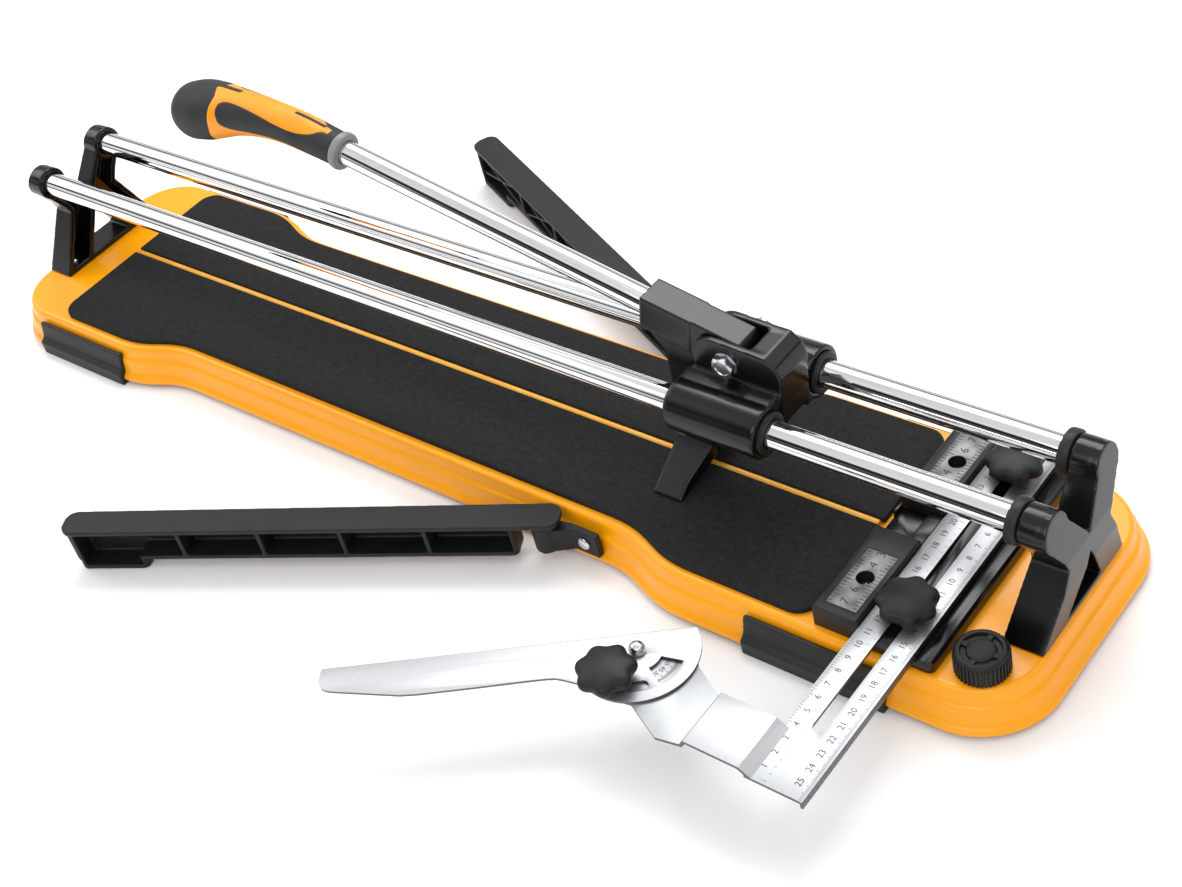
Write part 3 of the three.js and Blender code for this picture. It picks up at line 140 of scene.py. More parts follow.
def coated(name, stops, mottle_mm, rough, grain_mm, depth_mm, coat=0.0, coat_rough=0.1, metallic=0.0,
           shine=0.5):
    """A finish with broad colour mottling, uneven gloss and a fine raised grain."""
    material, tree, output, place = start_material(name)
    broad = add_node(tree, "ShaderNodeTexNoise", {"Vector": place}, Scale=1 / (mottle_mm * MM), Detail=4.0)
    fine = add_node(tree, "ShaderNodeTexNoise", {"Vector": place}, Scale=1 / (grain_mm * MM), Detail=2.0)
    colour = add_node(tree, "ShaderNodeValToRGB", {0: broad.outputs[0]}, stops)
    gloss = add_node(tree, "ShaderNodeMapRange", {0: broad.outputs[0]}, To_Min=rough[0], To_Max=rough[1])
    bump = add_node(tree, "ShaderNodeBump", {"Height": fine.outputs[0]}, Strength=1.0, Distance=depth_mm * MM)
    shader = add_node(tree, "ShaderNodeBsdfPrincipled", {
        "Base Color": colour.outputs[0], "Roughness": gloss.outputs[0], "Normal": bump.outputs[0]},
        Metallic=metallic, Coat_Weight=coat, Coat_Roughness=coat_rough, Specular_IOR_Level=shine)
    tree.links.new(shader.outputs[0], output.inputs["Surface"])
    return material


def scratched_metal(name, stops, rough, along, scratch_mm, depth_mm, length=60.0, smear_mm=22.0):
    """Bright metal with hair-fine drawn lines running along one axis."""
    material, tree, output, place = start_material(name)
    finely = [1 / (scratch_mm * MM * (length if axis == along else 1.0)) for axis in (0, 1, 2)]
    drawn = add_node(tree, "ShaderNodeMapping", {0: place}, Scale=finely)
    lines = add_node(tree, "ShaderNodeTexNoise", {"Vector": drawn.outputs[0]}, Scale=1.0, Detail=3.0)
    smears = add_node(tree, "ShaderNodeTexNoise", {"Vector": place}, Scale=1 / (smear_mm * MM), Detail=3.0)
    both = add_node(tree, "ShaderNodeMath", {0: lines.outputs[0], 1: smears.outputs[0]},
                    operation="MULTIPLY")
    colour = add_node(tree, "ShaderNodeValToRGB", {0: lines.outputs[0]}, stops)
    gloss = add_node(tree, "ShaderNodeMapRange", {0: both.outputs[0]}, To_Min=rough[0], To_Max=rough[1])
    bump = add_node(tree, "ShaderNodeBump", {"Height": lines.outputs[0]},
                    Strength=1.0, Distance=depth_mm * MM)
    shader = add_node(tree, "ShaderNodeBsdfPrincipled", {
        "Base Color": colour.outputs[0], "Roughness": gloss.outputs[0], "Normal": bump.outputs[0]},
        Metallic=1.0)
    tree.links.new(shader.outputs[0], output.inputs["Surface"])
    return material


# Baked gloss enamel over pressed steel: even orange with a faint orange-peel ripple and a
# clear, slightly soft highlight along the rolled edges.
ENAMEL = coated("orange_baked_enamel", [(0.3, 0xFFA202), (0.7, 0xFFAA0A)], 90,
                (0.26, 0.36), 1.6, 0.02, coat=0.1, coat_rough=0.12, shine=0.4)
# The same enamel on the narrow raised breaking strip, paler where tiles have rubbed it.
STRIP_ENAMEL = coated("worn_strip_enamel", [(0.35, 0xF4A61C), (0.7, 0xEFB84C)], 14,
                      (0.35, 0.5), 0.9, 0.02, coat=0.1)
# Black powder coat over die-cast alloy: fine pebbled skin, satin gloss that catches light on
# rounded edges.
CAST_BLACK = coated("satin_black_powder_coat", [(0.3, 0x070808), (0.72, 0x0F1010)], 24,
                    (0.17, 0.26), 0.55, 0.010, shine=0.38)
# The same coat painted lighter charcoal on the outer face of the fence-end bracket: a painted sheen standing
# in for the bright floor that this face reflects.
CAST_CHARCOAL_PAINTED_SHEEN = coated("charcoal_coat_painted_sheen", [(0.3, 0x323334), (0.75, 0x3E3F40)], 30,
                       (0.32, 0.44), 0.6, 0.012)
# Glass-filled nylon mouldings: dull black with a fine spark-eroded texture.
NYLON = coated("spark_textured_nylon", [(0.3, 0x131414), (0.75, 0x1C1D1D)], 18,
               (0.40, 0.52), 0.5, 0.02, shine=0.3)
# Dense foam rubber of the bed: matt dark grey with open cut cells and faint scuffs.
FOAM = coated("cut_foam_rubber", [(0.25, 0x1B1B1C), (0.5, 0x232324), (0.8, 0x2C2C2D)], 3.2,
              (0.82, 0.95), 0.9, 0.08, shine=0.2)
# Moulded rubber of the foot clips and stop rings: softer black, slightly waxy.
RUBBER = coated("moulded_rubber", [(0.3, 0x161717), (0.7, 0x202121)], 12,
                (0.42, 0.56), 0.7, 0.02, shine=0.35)
# Hard chrome on ground tube: near-mirror with very faint lengthwise polishing lines.
CHROME = scratched_metal("polished_hard_chrome", [(0.3, 0xE8E9EA), (0.7, 0xF6F6F7)],
                         (0.03, 0.08), 0, 1.2, 0.0004)
# Zinc-plated sheet steel, brushed across: pale and even, with very faint streaks.
SHEET = scratched_metal("brushed_zinc_sheet", [(0.3, 0xB4B6B8), (0.7, 0xBBBDBE)],
                        (0.46, 0.52), 1, 0.7, 0.0002)
# Sheared edge of the same sheet: bare, darker and duller than the plated faces.
SHEARED = scratched_metal("sheared_sheet_edge", [(0.3, 0x55575A), (0.7, 0x7C7E81)],
                          (0.35, 0.5), 2, 0.4, 0.004, 5.0)
# Bright zinc on turned fasteners: cool silver with a trace of turning marks.
ZINC = scratched_metal("bright_zinc_plate", [(0.3, 0xC4C8CC), (0.7, 0xE2E5E8)],
                       (0.16, 0.3), 2, 0.4, 0.004, 6.0)
# Ground tungsten carbide wheel: darker, satin, concentric grinding haze.
CARBIDE = scratched_metal("ground_carbide", [(0.3, 0x84888C), (0.7, 0xA9ADB0)],
                          (0.2, 0.34), 1, 0.3, 0.004, 4.0)
# Etched aluminium of the scale plates: mid grey with a darker, uneven patina.
ETCHED = coated("etched_scale_plate", [(0.3, 0x5A5B5C), (0.72, 0x939495)], 9,
                (0.38, 0.55), 0.4, 0.008, metallic=0.55)
# Black stoving ink that fills the graduations: matt, slightly thin in places.
INK = coated("graduation_ink", [(0.3, 0x17181A), (0.7, 0x34363A)], 2.0, (0.55, 0.7), 0.3, 0.004)
# Paler ink of the finer ruler marks, worn by the sliding clamp.
PALE_INK = coated("worn_graduation_ink", [(0.3, 0x5C5F63), (0.7, 0x9A9DA0)], 3.0, (0.45, 0.6), 0.3, 0.004)
# Moulded acetal collar of the grip: light grey, smooth and slightly translucent at the rim.
ACETAL = coated("light_grey_acetal", [(0.3, 0x747677), (0.7, 0x87898A)], 8,
                (0.35, 0.45), 0.6, 0.01)


def two_shot_grip():
    """Orange elastomer and softer charcoal elastomer, split where the piece's zone crosses zero."""
    material, tree, output, place = start_material("two_shot_soft_grip")
    zone = add_node(tree, "ShaderNodeAttribute", attribute_name="zone").outputs["Fac"]
    black = add_node(tree, "ShaderNodeMapRange", {0: zone}, From_Min=-0.12, From_Max=0.12).outputs[0]
    mottle_mm, grain_mm = 16.0, 0.6
    broad = add_node(tree, "ShaderNodeTexNoise", {"Vector": place}, Scale=1 / (mottle_mm * MM), Detail=3.0)
    grain = add_node(tree, "ShaderNodeTexNoise", {"Vector": place}, Scale=1 / (grain_mm * MM), Detail=2.0)
    orange = add_node(tree, "ShaderNodeValToRGB", {0: broad.outputs[0]}, [(0.3, 0xF79200), (0.7, 0xFF9E08)])
    charcoal = add_node(tree, "ShaderNodeValToRGB", {0: broad.outputs[0]}, [(0.3, 0x1B1C1D), (0.7, 0x282929)])
    colour = add_node(tree, "ShaderNodeMix", data_type="RGBA")
    for socket, source in ((0, black), (6, orange.outputs[0]), (7, charcoal.outputs[0])):
        tree.links.new(source, colour.inputs[socket])
    gloss = add_node(tree, "ShaderNodeMapRange", {0: black}, To_Min=0.42, To_Max=0.62)
    bump = add_node(tree, "ShaderNodeBump", {"Height": grain.outputs[0]}, Strength=1.0, Distance=0.02 * MM)
    shader = add_node(tree, "ShaderNodeBsdfPrincipled", {
        "Base Color": colour.outputs[2], "Roughness": gloss.outputs[0], "Normal": bump.outputs[0]},
        Specular_IOR_Level=0.45)
    tree.links.new(shader.outputs[0], output.inputs["Surface"])
    return material


GRIP = two_shot_grip()


# ---------- mesh tools ----------

def add_object(name, data):
    """A new object in the scene for a mesh, curve, lamp or lens."""
    item = bpy.data.objects.new(name, data)
    bpy.context.scene.collection.objects.link(item)
    return item


def finished_mesh(item):
    """The mesh of an object once its modifiers, curve or text are worked out."""
    graph = bpy.context.evaluated_depsgraph_get()
    return bpy.data.meshes.new_from_object(item.evaluated_get(graph))


@contextmanager
def editing(mesh):
    """Opens a mesh for editing and writes it back."""
    work = bmesh.new()
    work.from_mesh(mesh)
    yield work
    work.to_mesh(mesh)
    work.free()


def make_piece(name, vertices_mm, faces, smooth_angle=40.0):
    """A mesh piece from points in millimetres, with doubled points merged and faces outward."""
    mesh = bpy.data.meshes.new(name)
    mesh.from_pydata([Vector(v) * MM for v in vertices_mm], [], faces)
    with editing(mesh) as work:
        bmesh.ops.remove_doubles(work, verts=work.verts, dist=1e-6)
        bmesh.ops.recalc_face_normals(work, faces=work.faces)
    piece = add_object(name, mesh)
    shade(piece, smooth_angle)
    return piece


def shade(piece, angle_deg):
    """Smooth shading that stays sharp across edges steeper than the angle."""
    mesh = piece.data
    mesh.polygons.foreach_set("use_smooth", [True] * len(mesh.polygons))
    mesh.set_sharp_from_angle(angle=math.radians(angle_deg))


def shear_edges(piece):
    """Gives the upright faces of a sheet piece the look of a sheared edge."""
    piece.data.materials.append(SHEARED)
    for polygon in piece.data.polygons:
        polygon.material_index = 1 if abs(polygon.normal.z) < 0.75 else 0


def apply_modifiers(piece):
    mesh = finished_mesh(piece)
    piece.modifiers.clear()
    piece.data = mesh
    return piece


def fit(piece, body, slot, material, *replaced):
    """Gives a finished piece its material and body, and hides the CAD nodes that it stands for; the slot is
    not used.
    """
    piece.data.materials.clear()
    piece.data.materials.append(material)
    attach(piece, body)
    if replaced:
        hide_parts(*replaced)
    return piece


def loft(name, rings, smooth_angle=40.0, capped=True):
    """Joins rings of equally many points into one closed skin with flat end faces."""
    count = len(rings[0])
    points = [p for ring in rings for p in ring]
    faces = []
    for r in range(len(rings) - 1):
        for k in range(count):
            n = (k + 1) % count
            faces.append((r * count + k, r * count + n, (r + 1) * count + n, (r + 1) * count + k))
    if capped:
        faces.append(tuple(range(count)))
        faces.append(tuple((len(rings) - 1) * count + k for k in range(count)))
    return make_piece(name, points, faces, smooth_angle)


def turned(name, profile, centre, axis, sides=96, closed=False, smooth_angle=35.0):
    """A turned solid: profile rows are (distance along the axis, radius or radius of angle)."""
    direction = Vector(axis).normalized()
    across = direction.orthogonal().normalized()
    up = direction.cross(across)
    rings = []
    for along, radius in profile:
        ring = []
        for k in range(sides):
            angle = 2 * math.pi * k / sides
            r = radius(angle) if callable(radius) else radius
            ring.append(Vector(centre) + direction * along
                        + (across * math.cos(angle) + up * math.sin(angle)) * r)
        rings.append(ring)
    if closed:
        rings.append(rings[0])
    return loft(name, rings, smooth_angle, capped=not closed)


def tube_profile(x0, x1, outer, inner, edge):
    """Closed profile of a ring with rounded outer edges."""
    corner = 0.3 * edge
    return [(x0, inner), (x0, outer - edge), (x0 + corner, outer - corner), (x0 + edge, outer),
            (x1 - edge, outer), (x1 - corner, outer - corner), (x1, outer - edge), (x1, inner)]


def copy_of(node):
    """A merged copy of one CAD node, free of its triangulation."""
    mesh = nodes[node].data.copy()
    mesh.materials.clear()
    with editing(mesh) as work:
        bmesh.ops.remove_doubles(work, verts=work.verts, dist=2e-6)
        bmesh.ops.dissolve_limit(work, angle_limit=math.radians(0.6), verts=work.verts, edges=work.edges)
    return add_object("piece_" + node, mesh)


def crisp(node, edge_mm, segments=2):
    """A sheet-metal or moulded piece: the node's own shape with small rounded edges."""
    piece = copy_of(node)
    bevel = piece.modifiers.new("edges", "BEVEL")
    bevel.width = edge_mm * MM
    bevel.segments = segments
    bevel.limit_method = "ANGLE"
    bevel.angle_limit = math.radians(32)
    bevel.use_clamp_overlap = True
    apply_modifiers(piece)
    shade(piece, 38)
    return piece


def casting(node, voxel_mm, passes, extras=()):
    """A cast piece: the node and any truer round parts fused, with soft fillets all over."""
    piece = copy_of(node)
    with editing(piece.data) as work:
        for extra in extras:
            work.from_mesh(extra.data)
            bpy.data.objects.remove(extra)
    remesh = piece.modifiers.new("skin", "REMESH")
    remesh.mode = "VOXEL"
    remesh.voxel_size = voxel_mm * MM
    soften = piece.modifiers.new("soften", "SMOOTH")
    soften.factor = 0.5
    soften.iterations = passes
    apply_modifiers(piece)
    shade(piece, 180)
    return piece


def merge(name, pieces):
    """Joins several pieces of one body into a single mesh."""
    mesh = bpy.data.meshes.new(name)
    with editing(mesh) as work:
        for piece in pieces:
            work.from_mesh(piece.data)
            bpy.data.objects.remove(piece)
    return add_object(name, mesh)


# ---------- Geometry Nodes trees ----------

def new_tree(name, inputs):
    """An empty Geometry Nodes tree with named inputs given as (name, kind, value)."""
    tree = bpy.data.node_groups.new(name, "GeometryNodeTree")
    for label, kind, value in inputs:
        socket = tree.interface.new_socket(label, in_out="INPUT", socket_type=kind)
        if value is not None:
            socket.default_value = value
    tree.interface.new_socket("Geometry", in_out="OUTPUT", socket_type="NodeSocketGeometry")
    start = add_node(tree, "NodeGroupInput")
    end = add_node(tree, "NodeGroupOutput")
    return tree, start.outputs, end.inputs[0]


def grow(name, tree, values):
    """Runs a tree on an empty mesh and keeps the result as a plain mesh piece."""
    piece = add_object(name, bpy.data.meshes.new(name))
    modifier = piece.modifiers.new("grow", "NODES")
    modifier.node_group = tree
    for item in tree.interface.items_tree:
        if item.item_type == "SOCKET" and item.in_out == "INPUT" and item.name in values:
            modifier[item.identifier] = values[item.name]
    piece.data.update()
    return apply_modifiers(piece)


def ring_tree():
    """Blocks set round a circle, long side upright: knurls, finger lugs and rim serrations."""
    tree, source, result = new_tree("blocks_round_a_circle", [
        ("Count", "NodeSocketInt", 36), ("Radius", "NodeSocketFloat", 0.015),
        ("Block", "NodeSocketVector", (0.001, 0.001, 0.01)), ("Centre", "NodeSocketVector", (0, 0, 0)),
        ("Finish", "NodeSocketMaterial", None)])
    circle = add_node(tree, "GeometryNodeMeshCircle",
                      {"Vertices": source["Count"], "Radius": source["Radius"]})
    block = add_node(tree, "GeometryNodeMeshCube", {"Size": source["Block"]})
    index = add_node(tree, "GeometryNodeInputIndex")
    turn = add_node(tree, "ShaderNodeMath", {0: index.outputs[0], 1: source["Count"]}, operation="DIVIDE")
    angle = add_node(tree, "ShaderNodeMath", {0: turn.outputs[0]}, operation="MULTIPLY")
    angle.inputs[1].default_value = 2 * math.pi
    facing = add_node(tree, "ShaderNodeCombineXYZ", {"Z": angle.outputs[0]})
    rotation = add_node(tree, "FunctionNodeEulerToRotation", {0: facing.outputs[0]})
    blocks = add_node(tree, "GeometryNodeInstanceOnPoints", {
        "Points": circle.outputs[0], "Instance": block.outputs[0], "Rotation": rotation.outputs[0]})
    moved = add_node(tree, "GeometryNodeTransform", {0: blocks.outputs[0], "Translation": source["Centre"]})
    real = add_node(tree, "GeometryNodeRealizeInstances", {0: moved.outputs[0]})
    done = add_node(tree, "GeometryNodeSetMaterial", {0: real.outputs[0], "Material": source["Finish"]})
    tree.links.new(done.outputs[0], result)
    return tree


def graduation_tree():
    """A row of ruled lines; every fifth is longer and every tenth longest, from one edge."""
    tree, source, result = new_tree("row_of_graduations", [
        ("Count", "NodeSocketInt", 100), ("Start", "NodeSocketVector", (0, 0, 0)),
        ("Step", "NodeSocketVector", (0, 0.001, 0)), ("Short", "NodeSocketVector", (0.002, 0.0003, 0.0001)),
        ("Side", "NodeSocketFloat", 1.0), ("First", "NodeSocketInt", 0),
        ("Finish", "NodeSocketMaterial", None)])
    row = add_node(tree, "GeometryNodeMeshLine", {
        "Count": source["Count"], "Start Location": source["Start"], "Offset": source["Step"]})
    line = add_node(tree, "GeometryNodeMeshCube", {"Size": source["Short"]})
    width = add_node(tree, "ShaderNodeSeparateXYZ", {0: source["Short"]})
    half = add_node(tree, "ShaderNodeMath", {0: width.outputs[0], 1: source["Side"]}, operation="MULTIPLY")
    shift = add_node(tree, "ShaderNodeMath", {0: half.outputs[0]}, operation="MULTIPLY")
    shift.inputs[1].default_value = 0.5
    from_edge = add_node(tree, "ShaderNodeCombineXYZ", {"X": shift.outputs[0]})
    at_edge = add_node(tree, "GeometryNodeTransform",
                       {0: line.outputs[0], "Translation": from_edge.outputs[0]})
    index = add_node(tree, "GeometryNodeInputIndex")
    number = add_node(tree, "ShaderNodeMath", {0: index.outputs[0], 1: source["First"]}, operation="ADD")
    longer = []
    for every, growth in ((5, 0.45), (10, 0.55)):
        rest = add_node(tree, "ShaderNodeMath", {0: number.outputs[0]}, operation="MODULO")
        rest.inputs[1].default_value = every
        is_it = add_node(tree, "ShaderNodeMath", {0: rest.outputs[0]}, operation="LESS_THAN")
        is_it.inputs[1].default_value = 0.5
        more = add_node(tree, "ShaderNodeMath", {0: is_it.outputs[0]}, operation="MULTIPLY")
        more.inputs[1].default_value = growth
        longer.append(more.outputs[0])
    total = add_node(tree, "ShaderNodeMath", {0: longer[0], 1: longer[1]}, operation="ADD")
    length = add_node(tree, "ShaderNodeMath", {0: total.outputs[0]}, operation="ADD")
    length.inputs[1].default_value = 1.0
    size = add_node(tree, "ShaderNodeCombineXYZ", {"X": length.outputs[0]}, Y=1.0, Z=1.0)
    lines = add_node(tree, "GeometryNodeInstanceOnPoints", {
        "Points": row.outputs[0], "Instance": at_edge.outputs[0], "Scale": size.outputs[0]})
    real = add_node(tree, "GeometryNodeRealizeInstances", {0: lines.outputs[0]})
    done = add_node(tree, "GeometryNodeSetMaterial", {0: real.outputs[0], "Material": source["Finish"]})
    tree.links.new(done.outputs[0], result)
    return tree


RING_TREE = ring_tree()
GRADUATION_TREE = graduation_tree()


def graduations(name, count, start, step, short, side, first, finish):
    return grow(name, GRADUATION_TREE, {
        "Count": count, "Start": [v * MM for v in start], "Step": [v * MM for v in step],
        "Short": [v * MM for v in short], "Side": float(side), "First": first, "Finish": finish})


def digits(name, entries, height_mm, thick_mm=0.08):
    """Raised-ink digits; each entry is (text, x, y, z, turn in degrees) in millimetres."""
    pieces = []
    for text, x, y, z, turn in entries:
        curve = bpy.data.curves.new(name, "FONT")
        curve.body = text
        curve.size = height_mm * MM * 1.35
        curve.align_x = "CENTER"
        curve.align_y = "CENTER"
        curve.extrude = thick_mm * MM / 2
        curve.resolution_u = 3
        letter = add_object(name, curve)
        mesh = finished_mesh(letter)
        bpy.data.objects.remove(letter)
        mesh.transform(Matrix.Translation(Vector((x, y, z)) * MM)
                       @ Matrix.Rotation(math.radians(turn), 4, "Z"))
        pieces.append(add_object(name, mesh))
    return merge(name, pieces)


# ---------- outlines ----------

PAN_HIGH = extents("base_pan")[1]
PAN_HALF_LENGTH, PAN_HALF_WIDTH = PAN_HIGH.x - RIM, PAN_HIGH.y - RIM
PAN_HALF_WAIST, PAN_CORNER = PAN_HALF_WIDTH - 15.0, 37.0
WAIST_LEFT, WAIST_RIGHT, SWEEP = -225.0, 145.0, 70.0


def arc(cx, cy, radius, start, end, steps):
    return [(cx + radius * math.cos(math.radians(start + (end - start) * k / steps)),
             cy + radius * math.sin(math.radians(start + (end - start) * k / steps)))
            for k in range(steps + 1)]


def sweep(x0, y0, x1, y1, steps=24):
    """An S-shaped change of width between two stations."""
    points = []
    for k in range(1, steps + 1):
        t = k / steps
        x = (1 - t) ** 3 * x0 + 3 * (1 - t) * t * (x0 + x1) / 2 + t ** 3 * x1
        y = y0 + (y1 - y0) * t * t * (3 - 2 * t)
        points.append((x, y))
    return points


def long_side(wide, waist):
    """The rear edge from +X to -X, at y = wide or waist."""
    right, left = WAIST_RIGHT + SWEEP, WAIST_LEFT - SWEEP
    return ([(right, wide)] + sweep(right, wide, WAIST_RIGHT, waist)
            + [(WAIST_LEFT, waist)] + sweep(WAIST_LEFT, waist, left, wide))


def offset(points, distance):
    """A closed outline moved outwards along its own normals."""
    p = np.array(points)
    edge = np.roll(p, -1, 0) - p
    normal = np.stack([edge[:, 1], -edge[:, 0]], 1)
    normal /= np.linalg.norm(normal, axis=1)[:, None]
    before = np.roll(normal, 1, 0)
    scale = distance / (1 + (normal * before).sum(1))
    return [tuple(q) for q in p + (normal + before) * scale[:, None]]


def pan_outline():
    end, wide, r = PAN_HALF_LENGTH, PAN_HALF_WIDTH, PAN_CORNER
    rear = long_side(wide, PAN_HALF_WAIST)
    front = [(x, -y) for x, y in reversed(rear)]
    return (arc(end - r, -wide + r, r, -90, 0, 20) + arc(end - r, wide - r, r, 0, 90, 20) + rear
            + arc(-end + r, wide - r, r, 90, 180, 20) + arc(-end + r, -wide + r, r, 180, 270, 20) + front)


def at_height(outline, z):
    return [(x, y, z) for x, y in outline]


# ---------- base pan ----------

def base_pan():
    """Pressed steel: rolled top edge, upper band, pressed ledge, skirt and rolled rim."""
    outline = pan_outline()
    outside = [(-2.6, 0), (-1.2, 0), (-0.2, -0.25), (0.7, -0.9), (1.3, -1.8), (1.7, -3), (2.2, -6.5),
               (2.6, -8.6), (3.1, -9.6), (4.2, -10.4), (4.9, -11.2), (5.2, -12.4), (5.7, -16), (6.2, -19.2),
               (6.9, -21), (8.1, -22.4), (9.2, -23.3), (9.7, -24.3), (RIM, -25.6), (9.5, -26.7), (8.8, -27)]
    inside = [(7.9, -26.6), (6.4, -24), (4.4, -21), (3.6, -19), (2.6, -13), (1.2, -10.5), (0.2, -8),
              (-1, -3.6), (-2.4, -3), (-4, -3)]
    rings = [at_height(offset(outline, g), z) for g, z in outside + inside]
    return loft("pressed_base", rings, 35)


fit(base_pan(), "base", "orange_enamel", ENAMEL, "base_pan")


# ---------- bed pads and breaking strip ----------

def bed_pad(name, side):
    low, high, _ = extents("rear_pad")
    left, right, inner, r = low.x, high.x, low.y, 13
    wide, waist = high.y, high.y - PAN_HALF_WIDTH + PAN_HALF_WAIST
    rear = long_side(wide, waist)
    outline = ([(left, inner), (right, inner)] + arc(right - r, wide - r, r, 0, 90, 10) + rear
               + arc(left + r, wide - r, r, 90, 180, 10))
    levels = [(-0.1, 0.3), (0, 0.5), (0, 3.0), (-0.12, 3.55), (-0.5, 3.9), (-1.1, 4.0), (-1.8, 4.0)]
    rings = [[(x, y * side, z) for x, y in offset(outline, grow_by)] for grow_by, z in levels]
    return loft(name, rings, 50)


for pad_node, pad_side in (("front_pad", -1), ("rear_pad", 1)):
    pad_piece = fit(bed_pad("foam_" + pad_node, pad_side), "base", "pad_rubber", FOAM, pad_node)
fit(crisp("breaking_strip", 0.4), "base", "orange_enamel", STRIP_ENAMEL, "breaking_strip")

for clip in ("front_left_clip", "rear_left_clip", "front_right_clip", "rear_right_clip"):
    fit(casting(clip, 0.8, 3), "base", "black_rubber", RUBBER, clip)


# ---------- rails, stops and brackets ----------

for rail in ("front_rail", "rear_rail"):
    low, high, middle = extents(rail)
    edge = 0.6
    profile = [(low.x, RAIL_RADIUS - edge), (low.x + edge, RAIL_RADIUS), (high.x - edge, RAIL_RADIUS),
               (high.x, RAIL_RADIUS - edge)]
    fit(turned("chromed_" + rail, profile, (0, middle.y, RAIL_Z), (1, 0, 0), 128),
        "base", "chrome", CHROME, rail)

for ring in ("front_stop_ring", "rear_stop_ring"):
    low, high, middle = extents(ring)
    profile = tube_profile(low.x, high.x, 13, RAIL_RADIUS + 0.1, 1.2)
    fit(turned("rubber_" + ring, profile, (0, middle.y, RAIL_Z), (1, 0, 0), 96, True),
        "base", "black_rubber", RUBBER, ring)


def sleeve(x0, x1, y, outer, inner, edge=0.6):
    return turned("sleeve", tube_profile(x0, x1, outer, inner, edge), (0, y, RAIL_Z), (1, 0, 0), 128, True)


def rub_outer_face(piece):
    """Only the face turned to the fence end gets the lighter charcoal, a painted sheen; the rest of the
    casting stays black.
    """
    piece.data.materials.append(CAST_BLACK)
    for polygon in piece.data.polygons:
        polygon.material_index = 0 if polygon.normal.x > 0.8 else 1


def bracket(node, x0, x1, slot, finish):
    """A cast rail support with its two round bosses, which reach from x0 to x1."""
    bosses = [sleeve(x0, x1, y, 11.85, RAIL_RADIUS + 0.35) for y in (-RAIL_Y, RAIL_Y)]
    return fit(casting(node, 0.75, 4, bosses), "base", slot, finish, node)


STOP_RIGHT = extents("front_stop_ring")[1].x
# The right bracket's faces turned to +X get a painted sheen in lighter charcoal; its other faces stay black.
rub_outer_face(bracket("right_bracket", STOP_RIGHT + 0.6, RAIL_HIGH.x + 0.8, "charcoal_enamel",
                       CAST_CHARCOAL_PAINTED_SHEEN))
bracket("left_bracket", RAIL_LOW.x + 0.2, RAIL_LOW.x + 10.5, "black_enamel", CAST_BLACK)


def screw(name, centre, axis, head_radius, head_height, node, slot=None):
    """A turned screw head with a domed crown on its seat, and a driver slot given by two corners."""
    r, h = head_radius, head_height
    crown = [(-2.0, 2.0), (0.0, 2.0), (0.0, r), (0.35 * h, r), (0.7 * h, 0.86 * r), (0.92 * h, 0.6 * r),
             (h, 0.25 * r)]
    piece = turned(name, crown, centre, axis, 48)
    if slot:
        carve(piece, make_piece("slot", *block_points(*slot)))
    return fit(piece, "base", "zinc_steel", ZINC, node)


BLOCK_FACES = [(0, 3, 2, 1), (4, 5, 6, 7), (0, 1, 5, 4), (1, 2, 6, 5), (2, 3, 7, 6), (3, 0, 4, 7)]


def block_points(low, high):
    (x0, y0, z0), (x1, y1, z1) = low, high
    corners = ((x0, y0), (x1, y0), (x1, y1), (x0, y1))
    return [(x, y, z) for z in (z0, z1) for x, y in corners], BLOCK_FACES


def carve(piece, cutter):
    tool = piece.modifiers.new("carve", "BOOLEAN")
    tool.operation = "DIFFERENCE"
    tool.solver = "EXACT"
    tool.object = cutter
    apply_modifiers(piece)
    bpy.data.objects.remove(cutter)
    shade(piece, 35)
    return piece


for node in ("left_front_bracket_screw", "left_rear_bracket_screw", "right_front_bracket_screw",
             "right_rear_bracket_screw"):
    _, high, middle = extents(node)
    x, y, head = middle.x, middle.y, 2.4
    screw("pan_head_" + node, (x, y, high.z - head), (0, 0, 1), 4.2, head, node,
          ((x - 2.7, y - 0.6, high.z - 1.1), (x + 2.7, y + 0.6, high.z + 1)))


# ---------- carriage ----------

SLEEVE_LEFT = extents("front_left_bush")[0].x + BUSH_FLANGE
SLEEVE_RIGHT = extents("front_right_bush")[1].x - BUSH_FLANGE
sleeves = [sleeve(SLEEVE_LEFT, SLEEVE_RIGHT, y, 16.05, 12.1, 1.4) for y in (-RAIL_Y, RAIL_Y)]
fit(casting("carriage_body", 0.7, 12, sleeves), "carriage", "black_enamel", CAST_BLACK, "carriage_body")

for node in ("front_left_bush", "rear_left_bush", "front_right_bush", "rear_right_bush"):
    low, high, middle = extents(node)
    outer_end, inner_end, out = (high.x, low.x, 1) if "right" in node else (low.x, high.x, -1)
    seat = outer_end - (BUSH_FLANGE - 0.1) * out
    bore = RAIL_RADIUS + 0.25
    profile = [(inner_end, bore), (inner_end, 11.9), (seat, 11.9), (seat, 12.6),
               (outer_end - 1.0 * out, 12.7), (outer_end - 0.3 * out, 12.2), (outer_end, 11.2),
               (outer_end, bore + 0.8), (outer_end - 0.8 * out, bore)]
    fit(turned("bearing_" + node, profile, (0, middle.y, RAIL_Z), (1, 0, 0), 96, True),
        "carriage", "black_plastic", NYLON, node)


def hexagonal(flats, limit):
    """Radius of a hexagon at an angle, kept within a turned chamfer."""
    def radius(angle):
        corner = (angle + math.pi / 6) % (math.pi / 3) - math.pi / 6
        return min(flats / 2 / math.cos(corner), limit)
    return radius


